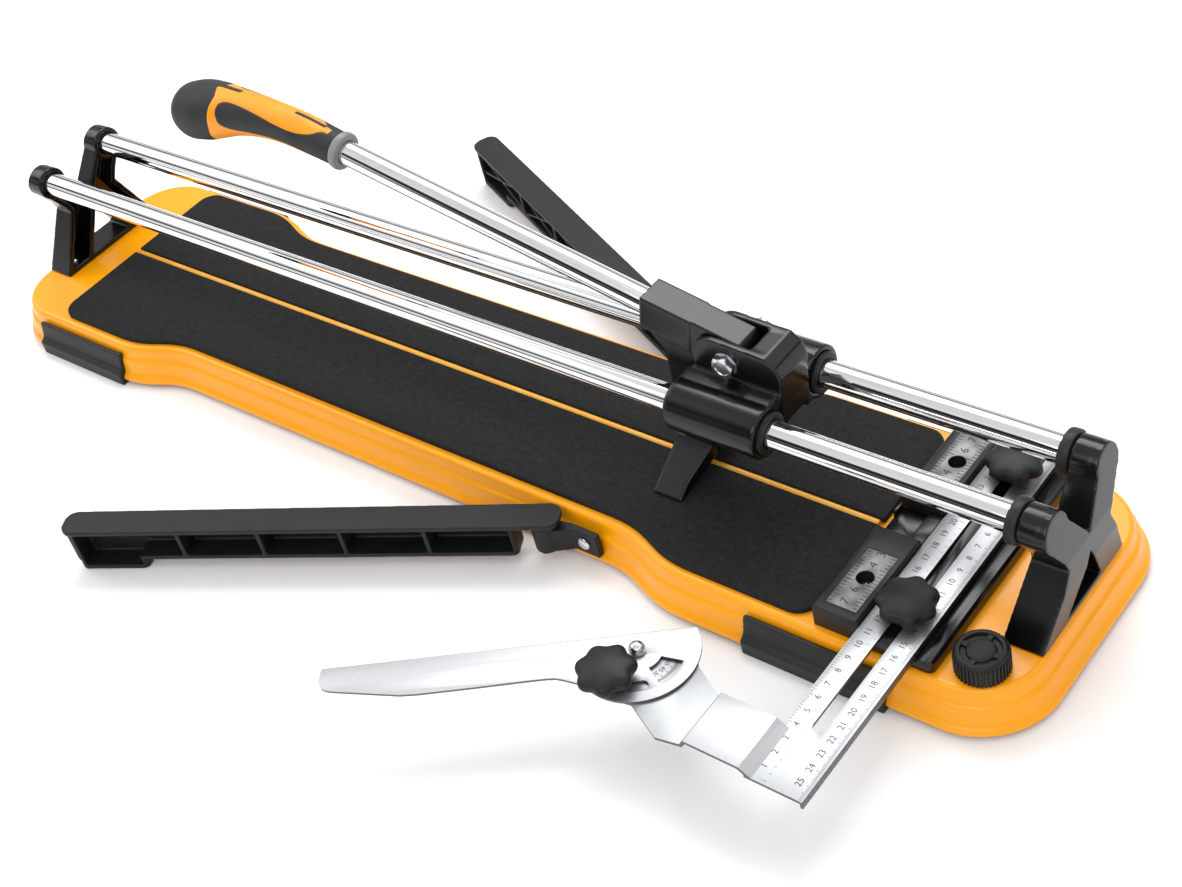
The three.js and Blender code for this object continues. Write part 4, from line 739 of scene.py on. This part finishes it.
def pivot_hardware():
    """The hinge bolt of the lever and its lock nut, each on the outer face of an ear of the carriage."""
    seat = extents("pivot_nut")[0].y
    bolt = [(-24, 3.6), (-23.5, 4.0), (seat - 0.1, 4.0), (seat - 0.1, 7.6), (seat + 1.0, 7.6),
            (seat + 1.05, hexagonal(13, 7.45)), (seat + 4.6, hexagonal(13, 7.45)),
            (seat + 5.1, hexagonal(13, 6.9)), (seat + 5.3, 6.2), (seat + 5.3, 4.6), (seat + 4.9, 4.2),
            (seat + 4.9, 2)]
    fit(turned("hex_bolt", bolt, (PIVOT[0], 0, PIVOT[2]), (0, -1, 0), 144, smooth_angle=24), "carriage",
        "zinc_steel", ZINC, "pivot_bolt")
    nut = [(seat, 4.1), (seat, hexagonal(13, 7.2)), (seat + 0.5, hexagonal(13, 7.5)),
           (seat + 4.4, hexagonal(13, 7.5)), (seat + 4.9, hexagonal(13, 6.7)), (seat + 4.9, 6.1),
           (seat + 6.1, 5.9), (seat + 6.5, 5.3), (seat + 6.5, 4.1)]
    fit(turned("lock_nut", nut, (PIVOT[0], 0, PIVOT[2]), (0, 1, 0), 144, True, 24), "carriage",
        "zinc_steel", ZINC, "pivot_nut")


pivot_hardware()


# ---------- lever, grip, breaker foot and wheel ----------

LEVER_DIRECTION = (-math.cos(LEVER_ANGLE), 0, math.sin(LEVER_ANGLE))


def lever_point(along, height, y=0.0):
    return (PIVOT[0] - along * math.cos(LEVER_ANGLE) + height * math.sin(LEVER_ANGLE), y,
            PIVOT[2] + along * math.sin(LEVER_ANGLE) + height * math.cos(LEVER_ANGLE))


fit(casting("lever_head", 0.6, 10), "lever", "black_enamel", CAST_BLACK, "lever_head")
fit(casting("breaker_foot", 0.6, 9), "lever", "black_enamel", CAST_BLACK, "breaker_foot")
tube = [(34.4, 7.4), (34.8, 7.8), (344.6, 7.8), (345, 7.4)]
fit(turned("chromed_lever_tube", tube, PIVOT, LEVER_DIRECTION, 128), "lever", "chrome", CHROME, "lever_tube")
collar = [(292, 8.1), (292, 10.6), (292.5, 11.7), (293.6, 12.3), (295.4, 12.35), (297, 12.0), (297.7, 11.2),
          (297.7, 8.1)]
fit(turned("grip_collar", collar, PIVOT, LEVER_DIRECTION, 96, True),
    "lever", "ring_grey", ACETAL, "grip_ring")

GRIP_RADII = [(298, 10.6), (299, 10.95), (308, 11.3), (320, 11.7), (341, 12.1), (363, 13.2), (385, 15.5),
              (402, 18.3), (416, 19.8), (427, 19.2), (436, 15.5), (440.5, 9.8), (441.9, 4.5), (442, 1.5)]


def smooth_curve(rows, at):
    """A monotone cubic through (position, value) rows."""
    xs, ys = [r[0] for r in rows], [r[1] for r in rows]
    slope = [(ys[k + 1] - ys[k]) / (xs[k + 1] - xs[k]) for k in range(len(xs) - 1)]
    tangent = [slope[0]]
    for a, b in zip(slope, slope[1:]):
        tangent.append(0.0 if a * b <= 0 else 2 * a * b / (a + b))
    tangent.append(slope[-1])
    k = max(0, min(len(xs) - 2, next((i - 1 for i, x in enumerate(xs) if x >= at), len(xs) - 2)))
    h = xs[k + 1] - xs[k]
    t = (at - xs[k]) / h
    return ((2 * t ** 3 - 3 * t * t + 1) * ys[k] + (t ** 3 - 2 * t * t + t) * h * tangent[k]
            + (3 * t * t - 2 * t ** 3) * ys[k + 1] + (t ** 3 - t * t) * h * tangent[k + 1])


# borders of the two grip colours, as (distance along the lever, degrees from the top)
INLAY_TOP = [(300, 14), (308, 14), (316, 42), (328, 58), (342, 57), (355, 48), (366, 40), (376, 34),
             (384, 33), (389, 41), (391, 60)]
INLAY_LOW = [(300, 130), (316, 128), (331, 119), (348, 115), (363, 114), (378, 108), (386, 99), (390, 86),
             (391, 66)]
BULB_EDGE = [(0, 397), (27, 394), (52, 396), (77, 398), (98, 400), (119, 404), (150, 409), (180, 411)]
TOP_SLOTS = [(379, 398), (309, 334)]
SLOT_CENTRE, SLOT_HALF = -11.5, 7.0


def outside_of(polygon, s, phi, radius):
    """Signed distance in millimetres from a point to a border on the unrolled grip."""
    scale = math.radians(1) * radius
    best, inside = 1e9, False
    count = len(polygon)
    for k in range(count):
        x0, y0 = polygon[k]
        x1, y1 = polygon[(k + 1) % count]
        ax, ay, bx, by = x0 - s, (y0 - phi) * scale, x1 - s, (y1 - phi) * scale
        dx, dy = bx - ax, by - ay
        t = max(0.0, min(1.0, -(ax * dx + ay * dy) / (dx * dx + dy * dy + 1e-9)))
        best = min(best, math.hypot(ax + t * dx, ay + t * dy))
        if (ay > 0) != (by > 0) and ax - ay * dx / dy > 0:
            inside = not inside
    return -best if inside else best


def curve_points(rows, steps=4):
    """Rounds a border by a Catmull-Rom curve through its points."""
    points = []
    for k in range(len(rows) - 1):
        p0, p1, p2, p3 = (np.array(rows[max(0, min(len(rows) - 1, k + d))], float) for d in (-1, 0, 1, 2))
        for j in range(steps):
            t = j / steps
            points.append(tuple(0.5 * (2 * p1 + (p2 - p0) * t + (2 * p0 - 5 * p1 + 4 * p2 - p3) * t * t
                                       + (3 * p1 - p0 - 3 * p2 + p3) * t ** 3)))
    return points + [tuple(rows[-1])]


def grip_zone(s, phi, radius, inlay):
    """Positive in the charcoal zones of the grip, negative in the orange ones."""
    signed = (phi + 180) % 360 - 180
    turn = abs(signed)
    neck = (304.0 + (4.5 if turn > 130 else 0)) - s
    bulb = s - smooth_curve(BULB_EDGE, min(turn, 180))
    side = -outside_of(inlay, s, turn, radius)
    zone = max(neck, bulb, side)
    for s0, s1 in TOP_SLOTS:
        across = (SLOT_HALF - abs(signed - SLOT_CENTRE)) * math.radians(1) * radius
        zone = max(zone, min(s - s0, s1 - s, across))
    return zone


def soft_grip():
    inlay = curve_points(INLAY_TOP) + curve_points(INLAY_LOW)[::-1]
    stations = sorted(set(list(np.arange(GRIP_START, 440, 0.8)) + list(np.linspace(440, GRIP_END, 8))))
    around = 176
    rings, zones = [], []
    for s in stations:
        radius = smooth_curve(GRIP_RADII, s)
        reach = max(0.0, s - DROOP_START)
        slope = math.atan(-2 * DROOP * reach)
        ring = []
        for k in range(around):
            phi = 360 * k / around
            zone = grip_zone(s, phi, radius, inlay)
            groove = 0.35 * math.exp(-(zone / 0.5) ** 2)
            r = radius - groove
            up, out = r * math.cos(math.radians(phi)), r * math.sin(math.radians(phi))
            ring.append(lever_point(s - up * math.sin(slope),
                                    -DROOP * reach * reach + up * math.cos(slope), -out))
            zones.append(zone)
        rings.append(ring)
    points = [p for ring in rings for p in ring]
    faces = [(r * around + k, r * around + (k + 1) % around, (r + 1) * around + (k + 1) % around,
              (r + 1) * around + k) for r in range(len(rings) - 1) for k in range(around)]
    faces += [tuple(range(around)), tuple((len(rings) - 1) * around + k for k in range(around))]
    mesh = bpy.data.meshes.new("soft_grip")
    mesh.from_pydata([Vector(p) * MM for p in points], [], faces)
    zone_attribute = mesh.attributes.new("zone", "FLOAT", "POINT")
    zone_attribute.data.foreach_set("value", zones)
    with editing(mesh) as work:
        bmesh.ops.recalc_face_normals(work, faces=work.faces)
    piece = add_object("soft_grip", mesh)
    shade(piece, 50)
    return piece


fit(soft_grip(), "lever", "grip_orange", GRIP, "grip_core", "grip_neck", "grip_bulb")

disc = [(-1.2, 3.1), (-1.2, 8.6), (-1.1, 9.4), (-0.15, 10.95), (0.15, 10.95), (1.1, 9.4), (1.2, 8.6),
        (1.2, 3.1)]
fit(turned("cutting_disc", disc, WHEEL, (0, 1, 0), 96, True),
    "wheel", "tool_steel", CARBIDE, "cutting_wheel")
pin = [(-8, 2.5), (-7.5, 3), (7.5, 3), (8, 2.5)]
fit(turned("axle_pin", pin, WHEEL, (0, 1, 0), 64), "lever", "zinc_steel", ZINC, "wheel_axle")


# ---------- side arms and lugs ----------

SIDES = (("front", -1), ("rear", 1))

for side_name, sign in SIDES:
    arm, lug = side_name + "_arm", side_name + "_arm_lug"
    fit(casting(arm, 0.75, 2), side_name + "_side_arm", "black_plastic", NYLON, arm)
    fit(casting(lug, 0.6, 2), "base", "black_plastic", NYLON, lug)
    low, high, middle = extents(side_name + "_lug_screw")
    head = 2.0
    outermost = high.y if sign > 0 else low.y
    screw("lug_fixing_" + side_name, (middle.x, outermost - sign * head, middle.z), (0, sign, 0), 4.4, head,
          side_name + "_lug_screw")

# ---------- fence ----------

fit(crisp("fence_bed", 0.5), "base", "black_enamel", CAST_BLACK, "fence_bed")
fit(crisp("centre_block", 0.6), "base", "black_enamel", CAST_BLACK, "centre_block")
fit(crisp("centre_stop_plate", 0.25), "base", "black_enamel", CAST_BLACK, "centre_stop_plate")
SOCKET_HEAD = [(-2, 2.2), (0, 2.2), (0, 4.4), (1.8, 4.3), (2.4, 3.7), (2.5, 2.4), (1.3, hexagonal(3.4, 3)),
               (1.2, 0.5)]
for side_name, sign in SIDES:
    block, plate, fixing = (side_name + kind for kind in ("_scale_block", "_scale_plate", "_block_screw"))
    fit(crisp(block, 0.5), "base", "black_plastic", NYLON, block)
    fit(crisp(plate, 0.15), "base", "scale_aluminium", ETCHED, plate)
    _, high, middle = extents(fixing)
    fit(turned("socket_screw_" + side_name, SOCKET_HEAD, (middle.x, middle.y, high.z - 2.5), (0, 0, 1), 72),
        "base", "zinc_steel", ZINC, fixing)

PLATE_LOW, PLATE_HIGH, PLATE_MIDDLE = extents("rear_scale_plate")


def plate_marks(side_name, sign):
    """Centimetres from the breaking line: lines on both long edges and digits between them."""
    top = PLATE_HIGH.z
    lines = [graduations("lines", 17, (edge, sign * 32.0, top + 0.03), (0, sign * 2.5, 0),
                         (2.6, 0.45, 0.12), side, 1, INK)
             for edge, side in ((PLATE_LOW.x + 0.5, 1), (PLATE_HIGH.x - 0.5, -1))]
    fit(merge(side_name + "_plate_lines", lines), "base", "scale_aluminium", INK)
    places = ((4, 40.0), (6, 60.0), (3, 31.5), (7, 69.5))
    marks = [(str(number), PLATE_MIDDLE.x, sign * y, top, 90) for number, y in places]
    fit(digits(side_name + "_plate_digits", marks, 5.6), "base", "scale_aluminium", INK)


for side_name, sign in SIDES:
    plate_marks(side_name, sign)

# ---------- ruler ----------

shear_edges(fit(crisp("ruler", 0.35), "sliding_ruler", "bright_steel", SHEET, "ruler"))
SHEET_TOP = extents("front_knob")[0].z - GAP
RULER_LOW, RULER_HIGH, _ = extents("ruler")
RULER_RIGHT = RULER_HIGH.x
RULER_LEFT = RULER_RIGHT - 35.0
RULER_ZERO = RULER_LOW.y + 2.5


def ruler_marks():
    """Millimetre lines at the right edge, coarser lines at the left edge and the slot, and digits."""
    rows = []
    for count, x, first_mm, step_mm, line, side, first in (
            (264, RULER_RIGHT - 0.9, 1.0, 1, (1.7, 0.28, 0.1), -1, 1),
            (132, RULER_LEFT + 0.7, 2.0, 2, (1.5, 0.3, 0.1), 1, 1),
            (52, RULER_RIGHT - 22.4, 2.0, 5, (1.6, 0.3, 0.1), -1, 0)):
        rows.append(graduations("lines", count, (x, RULER_ZERO + first_mm, SHEET_TOP + 0.02),
                                (0, step_mm, 0), line, side, first, PALE_INK))
    fit(merge("ruler_lines", rows), "sliding_ruler", "bright_steel", PALE_INK)
    marks = []
    for n in range(1, 26):
        for number, x in ((n, RULER_LEFT + 6.4), (26 - n, RULER_RIGHT - 7.6)):
            marks.append((str(number), x, RULER_ZERO + n * 10.0, SHEET_TOP, 90))
    fit(digits("ruler_digits", marks, 3.9), "sliding_ruler", "bright_steel", INK)


ruler_marks()

# ---------- angle fence ----------


def swivel_place(radius, angle):
    return SWIVEL.x + radius * math.cos(angle), SWIVEL.y + radius * math.sin(angle)


def flat_plate(name, outlines, z0, z1, edge, transform):
    """A flat plate with holes and rounded rims, from outlines drawn in its own plane."""
    curve = bpy.data.curves.new(name, "CURVE")
    curve.dimensions = "2D"
    curve.fill_mode = "BOTH"
    curve.extrude = ((z1 - z0) / 2 - edge) * MM
    curve.bevel_depth = edge * MM
    curve.bevel_resolution = 1
    curve.offset = -edge * MM
    for outline in outlines:
        spline = curve.splines.new("POLY")
        spline.points.add(len(outline) - 1)
        spline.use_cyclic_u = True
        for point, (x, y) in zip(spline.points, outline):
            point.co = (x * MM, y * MM, 0, 1)
    flat = add_object(name, curve)
    mesh = finished_mesh(flat)
    bpy.data.objects.remove(flat)
    with editing(mesh) as work:
        bmesh.ops.remove_doubles(work, verts=work.verts, dist=1e-6)
        bmesh.ops.recalc_face_normals(work, faces=work.faces)
    mesh.transform(transform @ Matrix.Translation((0, 0, (z0 + z1) / 2 * MM)))
    piece = add_object(name, mesh)
    shade(piece, 40)
    return piece


def arc_slot(radius, half_width, start, end):
    """Outline of a slot along an arc, with round ends."""
    inner, outer = radius - half_width, radius + half_width
    caps = []
    for at, turn in ((end, 0), (start, 180)):
        x, y = radius * math.cos(math.radians(at)), radius * math.sin(math.radians(at))
        caps.append(arc(x, y, half_width, at + turn, at + turn + 180, 10)[1:-1])
    return arc(0, 0, outer, start, end, 40) + caps[0] + arc(0, 0, inner, end, start, 40) + caps[1]


DIAL_RADIUS, CLAMP_RADIUS = 35.0, 24.5      # of the round head, and of the arc that the clamp runs in


def angle_fence():
    """The blade with its round head, arc slot, scale window and pivot hole, in its own plane."""
    low, high, _ = extents("protractor_blade")
    straight = -13.0
    corner = 180 - math.degrees(math.asin(straight / DIAL_RADIUS))
    outline = ([(179.2, straight), (180, -12), (180.5, -5), (179.6, -1.5), (178.2, 1.4), (175.5, 3.2),
                (172, 4.4), (150, 8.8), (132, 12.4), (122, 13.0), (90, 12.8), (60, 12.3), (50, 12.3),
                (45, 12.7), (40.5, 14.4)] + arc(0, 0, DIAL_RADIUS, 34, corner, 96) + [(-32, straight)])
    clamp = 265 - math.degrees(BLADE_ANGLE)
    slot = arc_slot(CLAMP_RADIUS, 3.5, clamp - 47, clamp + 47)
    window = arc(0, 0, 27, 116, 158, 24) + arc(0, 0, 14, 158, 116, 24)
    hole = arc(0, 0, 2.8, 0, 350, 35)
    place = Matrix.Translation((SWIVEL.x * MM, SWIVEL.y * MM, 0)) @ Matrix.Rotation(BLADE_ANGLE, 4, "Z")
    return flat_plate("angle_fence_blade", [outline, slot, window, hole], low.z, high.z, 0.2, place)


shear_edges(fit(angle_fence(), "angle_fence", "bright_steel", SHEET, "protractor_blade"))


def angle_marks():
    """Degree lines on the swivel plate that show through the window of the blade."""
    lines = []
    for k in range(-5, 25):
        angle = BLADE_ANGLE + math.radians(116 + k * 2)
        length = 3.4 if k % 5 == 0 else 2.0
        x0, y0 = swivel_place(CLAMP_RADIUS, angle)
        x1, y1 = swivel_place(CLAMP_RADIUS - length, angle)
        dx, dy = (y1 - y0) / length * 0.16, -(x1 - x0) / length * 0.16
        corners = ((x0 + dx, y0 + dy), (x1 + dx, y1 + dy), (x1 - dx, y1 - dy), (x0 - dx, y0 - dy))
        points = [(x, y, z) for z in (SHEET_TOP, SHEET_TOP + 0.08) for x, y in corners]
        lines.append(make_piece("line", points, BLOCK_FACES))
    fit(merge("angle_lines", lines), "sliding_ruler", "bright_steel", INK)
    marks = []
    for value, k in (("30", 2), ("45", 8), ("60", 15)):
        angle = BLADE_ANGLE + math.radians(116 + k * 2.4)
        x, y = swivel_place(18.2, angle)
        marks.append((value, x, y, SHEET_TOP, math.degrees(angle) - 90))
    fit(digits("angle_digits", marks, 3.0), "sliding_ruler", "bright_steel", INK)


angle_marks()

BLADE_TOP = extents("protractor_blade")[1].z
rivet = [(-3.5, 2.4), (0.2, 2.45), (0.3, 4.2), (0.9, 4.8), (2.6, 4.75), (4.2, 4.2), (5.4, 3.1), (6.1, 1.8),
         (6.4, 0.5)]
fit(turned("swivel_rivet", rivet, (SWIVEL.x, SWIVEL.y, BLADE_TOP), (0, 0, 1), 72),
    "sliding_ruler", "zinc_steel", ZINC, "swivel_pin")


# ---------- star knobs, studs and storage cap ----------

def lobed(radius, depth, lobes=7):
    return lambda angle: radius - depth * (0.5 - 0.5 * math.cos(lobes * angle)) ** 1.15


def star_knob(name, node, body):
    """A star knob: stepped neck, seven rounded lobes and a domed top."""
    low, high, middle = extents(node)
    profile = [(0, 3.3), (0, 7.2), (0.4, 7.6), (3.0, 8.6), (3.8, 10.0), (4.2, lobed(12.6, 1.3)),
               (4.7, lobed(15.4, 1.9)), (5.4, lobed(16.8, 2.2)), (6.6, lobed(17.4, 2.3)),
               (8.4, lobed(17.3, 2.3)), (9.5, lobed(16.8, 2.1)), (10.2, lobed(15.9, 1.8)),
               (10.9, lobed(14.2, 1.2)), (11.5, lobed(11.8, 0.5)), (12.1, 8.4), (12.6, 4.6), (12.9, 0.8)]
    scale = (high.z - low.z) / profile[-1][0]
    profile = [(h * scale, r) for h, r in profile]
    fit(turned(name, profile, (middle.x, middle.y, low.z), (0, 0, 1), 168, smooth_angle=60),
        body, "black_plastic", NYLON, node)


star_knob("front_star_knob", "front_knob", "front_clamp_knob")
star_knob("rear_star_knob", "rear_knob", "rear_clamp_knob")
star_knob("angle_star_knob", "protractor_knob", "angle_clamp_knob")

for node, body in (("front_stud", "base"), ("rear_stud", "base"), ("protractor_stud", "sliding_ruler")):
    low, high, middle = extents(node)
    z0, z1 = low.z, high.z
    if node == "protractor_stud":
        profile = [(z0, 5.8), (z0 + 0.4, 6.4), (z0 + 2.4, 6.4), (z0 + 2.5, 3), (z1 - 0.6, 3), (z1, 2.4)]
    else:
        profile = [(z0, 2.4), (z0 + 0.6, 3), (z1 - 0.6, 3), (z1, 2.4)]
    fit(turned("turned_" + node, profile, (middle.x, middle.y, 0), (0, 0, 1), 48),
        body, "zinc_steel", ZINC, node)


def storage_cap():
    """A screw cap with a knurled wall, a sunk ring in its top and four finger lugs."""
    _, high, middle = extents("storage_cap")
    x, y, top = middle.x, middle.y, high.z
    wall = 14.35
    profile = [(-2.4, 11), (-2.4, 11.7), (0.3, 11.8), (0.35, wall - 0.3), (0.8, wall),
               (top - 1.6, wall - 0.1), (top - 0.7, wall - 0.5), (top - 0.1, wall - 1.5), (top, wall - 2.2),
               (top - 0.2, wall - 3.2), (top - 1.9, wall - 3.7), (top - 2.0, 8.2), (top - 0.7, 7.6),
               (top - 0.35, 6.9), (top - 0.2, 4), (top - 0.1, 1)]
    body = turned("cap_body", profile, (x, y, 0), (0, 0, 1), 144, smooth_angle=50)
    ribs = grow("cap_ribs", RING_TREE, {
        "Count": 40, "Radius": wall * MM, "Block": (1.7 * MM, 1.15 * MM, (top - 2.6) * MM),
        "Centre": (x * MM, y * MM, (0.6 + (top - 2.6) / 2) * MM), "Finish": NYLON})
    lugs = grow("cap_lugs", RING_TREE, {
        "Count": 4, "Radius": 9.4 * MM, "Block": (4.2 * MM, 3.4 * MM, 1.4 * MM),
        "Centre": (x * MM, y * MM, (top - 1.25) * MM), "Finish": NYLON})
    for part in (ribs, lugs):
        bevel = part.modifiers.new("edges", "BEVEL")
        bevel.width = 0.35 * MM
        bevel.segments = 2
        apply_modifiers(part)
    piece = merge("knurled_cap", [body, ribs, lugs])
    shade(piece, 45)
    return fit(piece, "cap", "black_plastic", NYLON, "storage_cap")


storage_cap()


# ---------- stage, light and camera ----------

def stage():
    """A wide floor under the rubber feet."""
    # Matt white studio floor with a barely visible tooth.
    floor_finish = coated("studio_floor", [(0.3, 0xF4F4F4), (0.7, 0xFAFAFA)], 400, (0.85, 0.95), 2.0, 0.01)
    reach, z = 6000.0, cad_box[0][2] / MM
    corners = [(-reach, -reach, z), (reach, -reach, z), (reach, reach, z), (-reach, reach, z)]
    floor = make_piece("floor", corners, [(0, 1, 2, 3)])
    floor.data.materials.append(floor_finish)


def area_light(name, place, target, size, power):
    """A rectangular softbox that shines at its target."""
    lamp = bpy.data.lights.new(name, "AREA")
    lamp.shape = "RECTANGLE"
    lamp.size, lamp.size_y = size
    lamp.energy = power
    holder = add_object(name, lamp)
    holder.location = place
    aim = Vector(target) - Vector(place)
    holder.rotation_euler = aim.to_track_quat("-Z", "Y").to_euler()


def ceiling_light(name, strength):
    """Light from above, spread as wide as a white ceiling."""
    lamp = bpy.data.lights.new(name, "SUN")
    lamp.energy = strength
    lamp.angle = math.radians(110)
    add_object(name, lamp)


def world():
    """A soft white studio with grey bands and a black flag in front, for the chrome to show."""
    studio = bpy.data.worlds.new("studio")
    bpy.context.scene.world = studio
    studio.use_nodes = True
    tree = studio.node_tree
    tree.nodes.clear()
    place = add_node(tree, "ShaderNodeTexCoord").outputs["Generated"]
    side, depth, height = add_node(tree, "ShaderNodeSeparateXYZ", {0: place}).outputs
    left_edge = add_node(tree, "ShaderNodeMapRange", {0: side}, From_Min=-0.56, From_Max=-0.49).outputs[0]
    right_edge = add_node(tree, "ShaderNodeMapRange", {0: side}, From_Min=-0.2, From_Max=-0.3).outputs[0]
    in_front = add_node(tree, "ShaderNodeMapRange", {0: depth}, From_Min=0.12, From_Max=0.0).outputs[0]
    between = add_node(tree, "ShaderNodeMath", {0: left_edge, 1: right_edge}, operation="MULTIPLY").outputs[0]
    flag = add_node(tree, "ShaderNodeMath", {0: between, 1: in_front}, operation="MULTIPLY").outputs[0]
    strength = add_node(tree, "ShaderNodeMapRange", {0: flag}, To_Min=1.0, To_Max=0.1).outputs[0]
    lifted = add_node(tree, "ShaderNodeMapRange", {0: height}, From_Min=-1.0, From_Max=1.0).outputs[0]
    bands = [(0.5, 0x2A2A2C), (0.54, 0x343436), (0.56, 0xEEEEEE), (0.66, 0xE4E4E4), (0.68, 0x2C2C2E),
             (0.72, 0x2C2C2E), (0.74, 0xD8D8D8), (0.88, 0xEEEEEE), (0.91, 0x6A6A6C), (1.0, 0x8A8A8C)]
    shades = add_node(tree, "ShaderNodeValToRGB", {0: lifted}, bands).outputs[0]
    glow = add_node(tree, "ShaderNodeBackground", {"Color": shades, "Strength": strength})
    output = add_node(tree, "ShaderNodeOutputWorld")
    tree.links.new(glow.outputs[0], output.inputs["Surface"])


def camera():
    """A long lens from the front right and above, held slightly rolled, for a 1182 by 887 frame."""
    azimuth, elevation, roll = math.radians(48.106), math.radians(40.338), math.radians(-15.462)
    back = Vector((math.sin(azimuth) * math.cos(elevation), -math.cos(azimuth) * math.cos(elevation),
                   math.sin(elevation)))
    right = Vector((0, 0, 1)).cross(back).normalized()
    up = back.cross(right)
    c, s = math.cos(roll), math.sin(roll)
    right, up = right * c + up * s, up * c - right * s
    turn = Matrix((right, up, back)).transposed().to_4x4()
    lens = bpy.data.cameras.new("view")
    lens.sensor_width = 36.0
    lens.sensor_fit = "HORIZONTAL"
    lens.lens = 1888.277 / 1182 * 36.0
    lens.shift_x = (591 - 568.516) / 1182
    lens.shift_y = (420.253 - 443.5) / 1182
    lens.clip_end = 50
    holder = add_object("view", lens)
    scale = 1.04 * MM
    holder.matrix_world = Matrix.Translation(Vector((716.4, -590.7, 742.7)) * scale) @ turn
    bpy.context.scene.camera = holder


stage()
world()
area_light("rear_softbox", (-0.4, 1.15, 2.1), (0, 0, 0), (1.7, 1.0), 32)
area_light("front_softbox", (0.5, -2.0, 1.7), (0, 0, 0.05), (2.4, 0.9), 13)
area_light("left_softbox", (-2.0, -0.2, 1.4), (0, 0, 0.05), (1.2, 1.2), 9)
ceiling_light("ceiling", 1.5)
camera()
bpy.context.scene.view_settings.view_transform = "Standard"
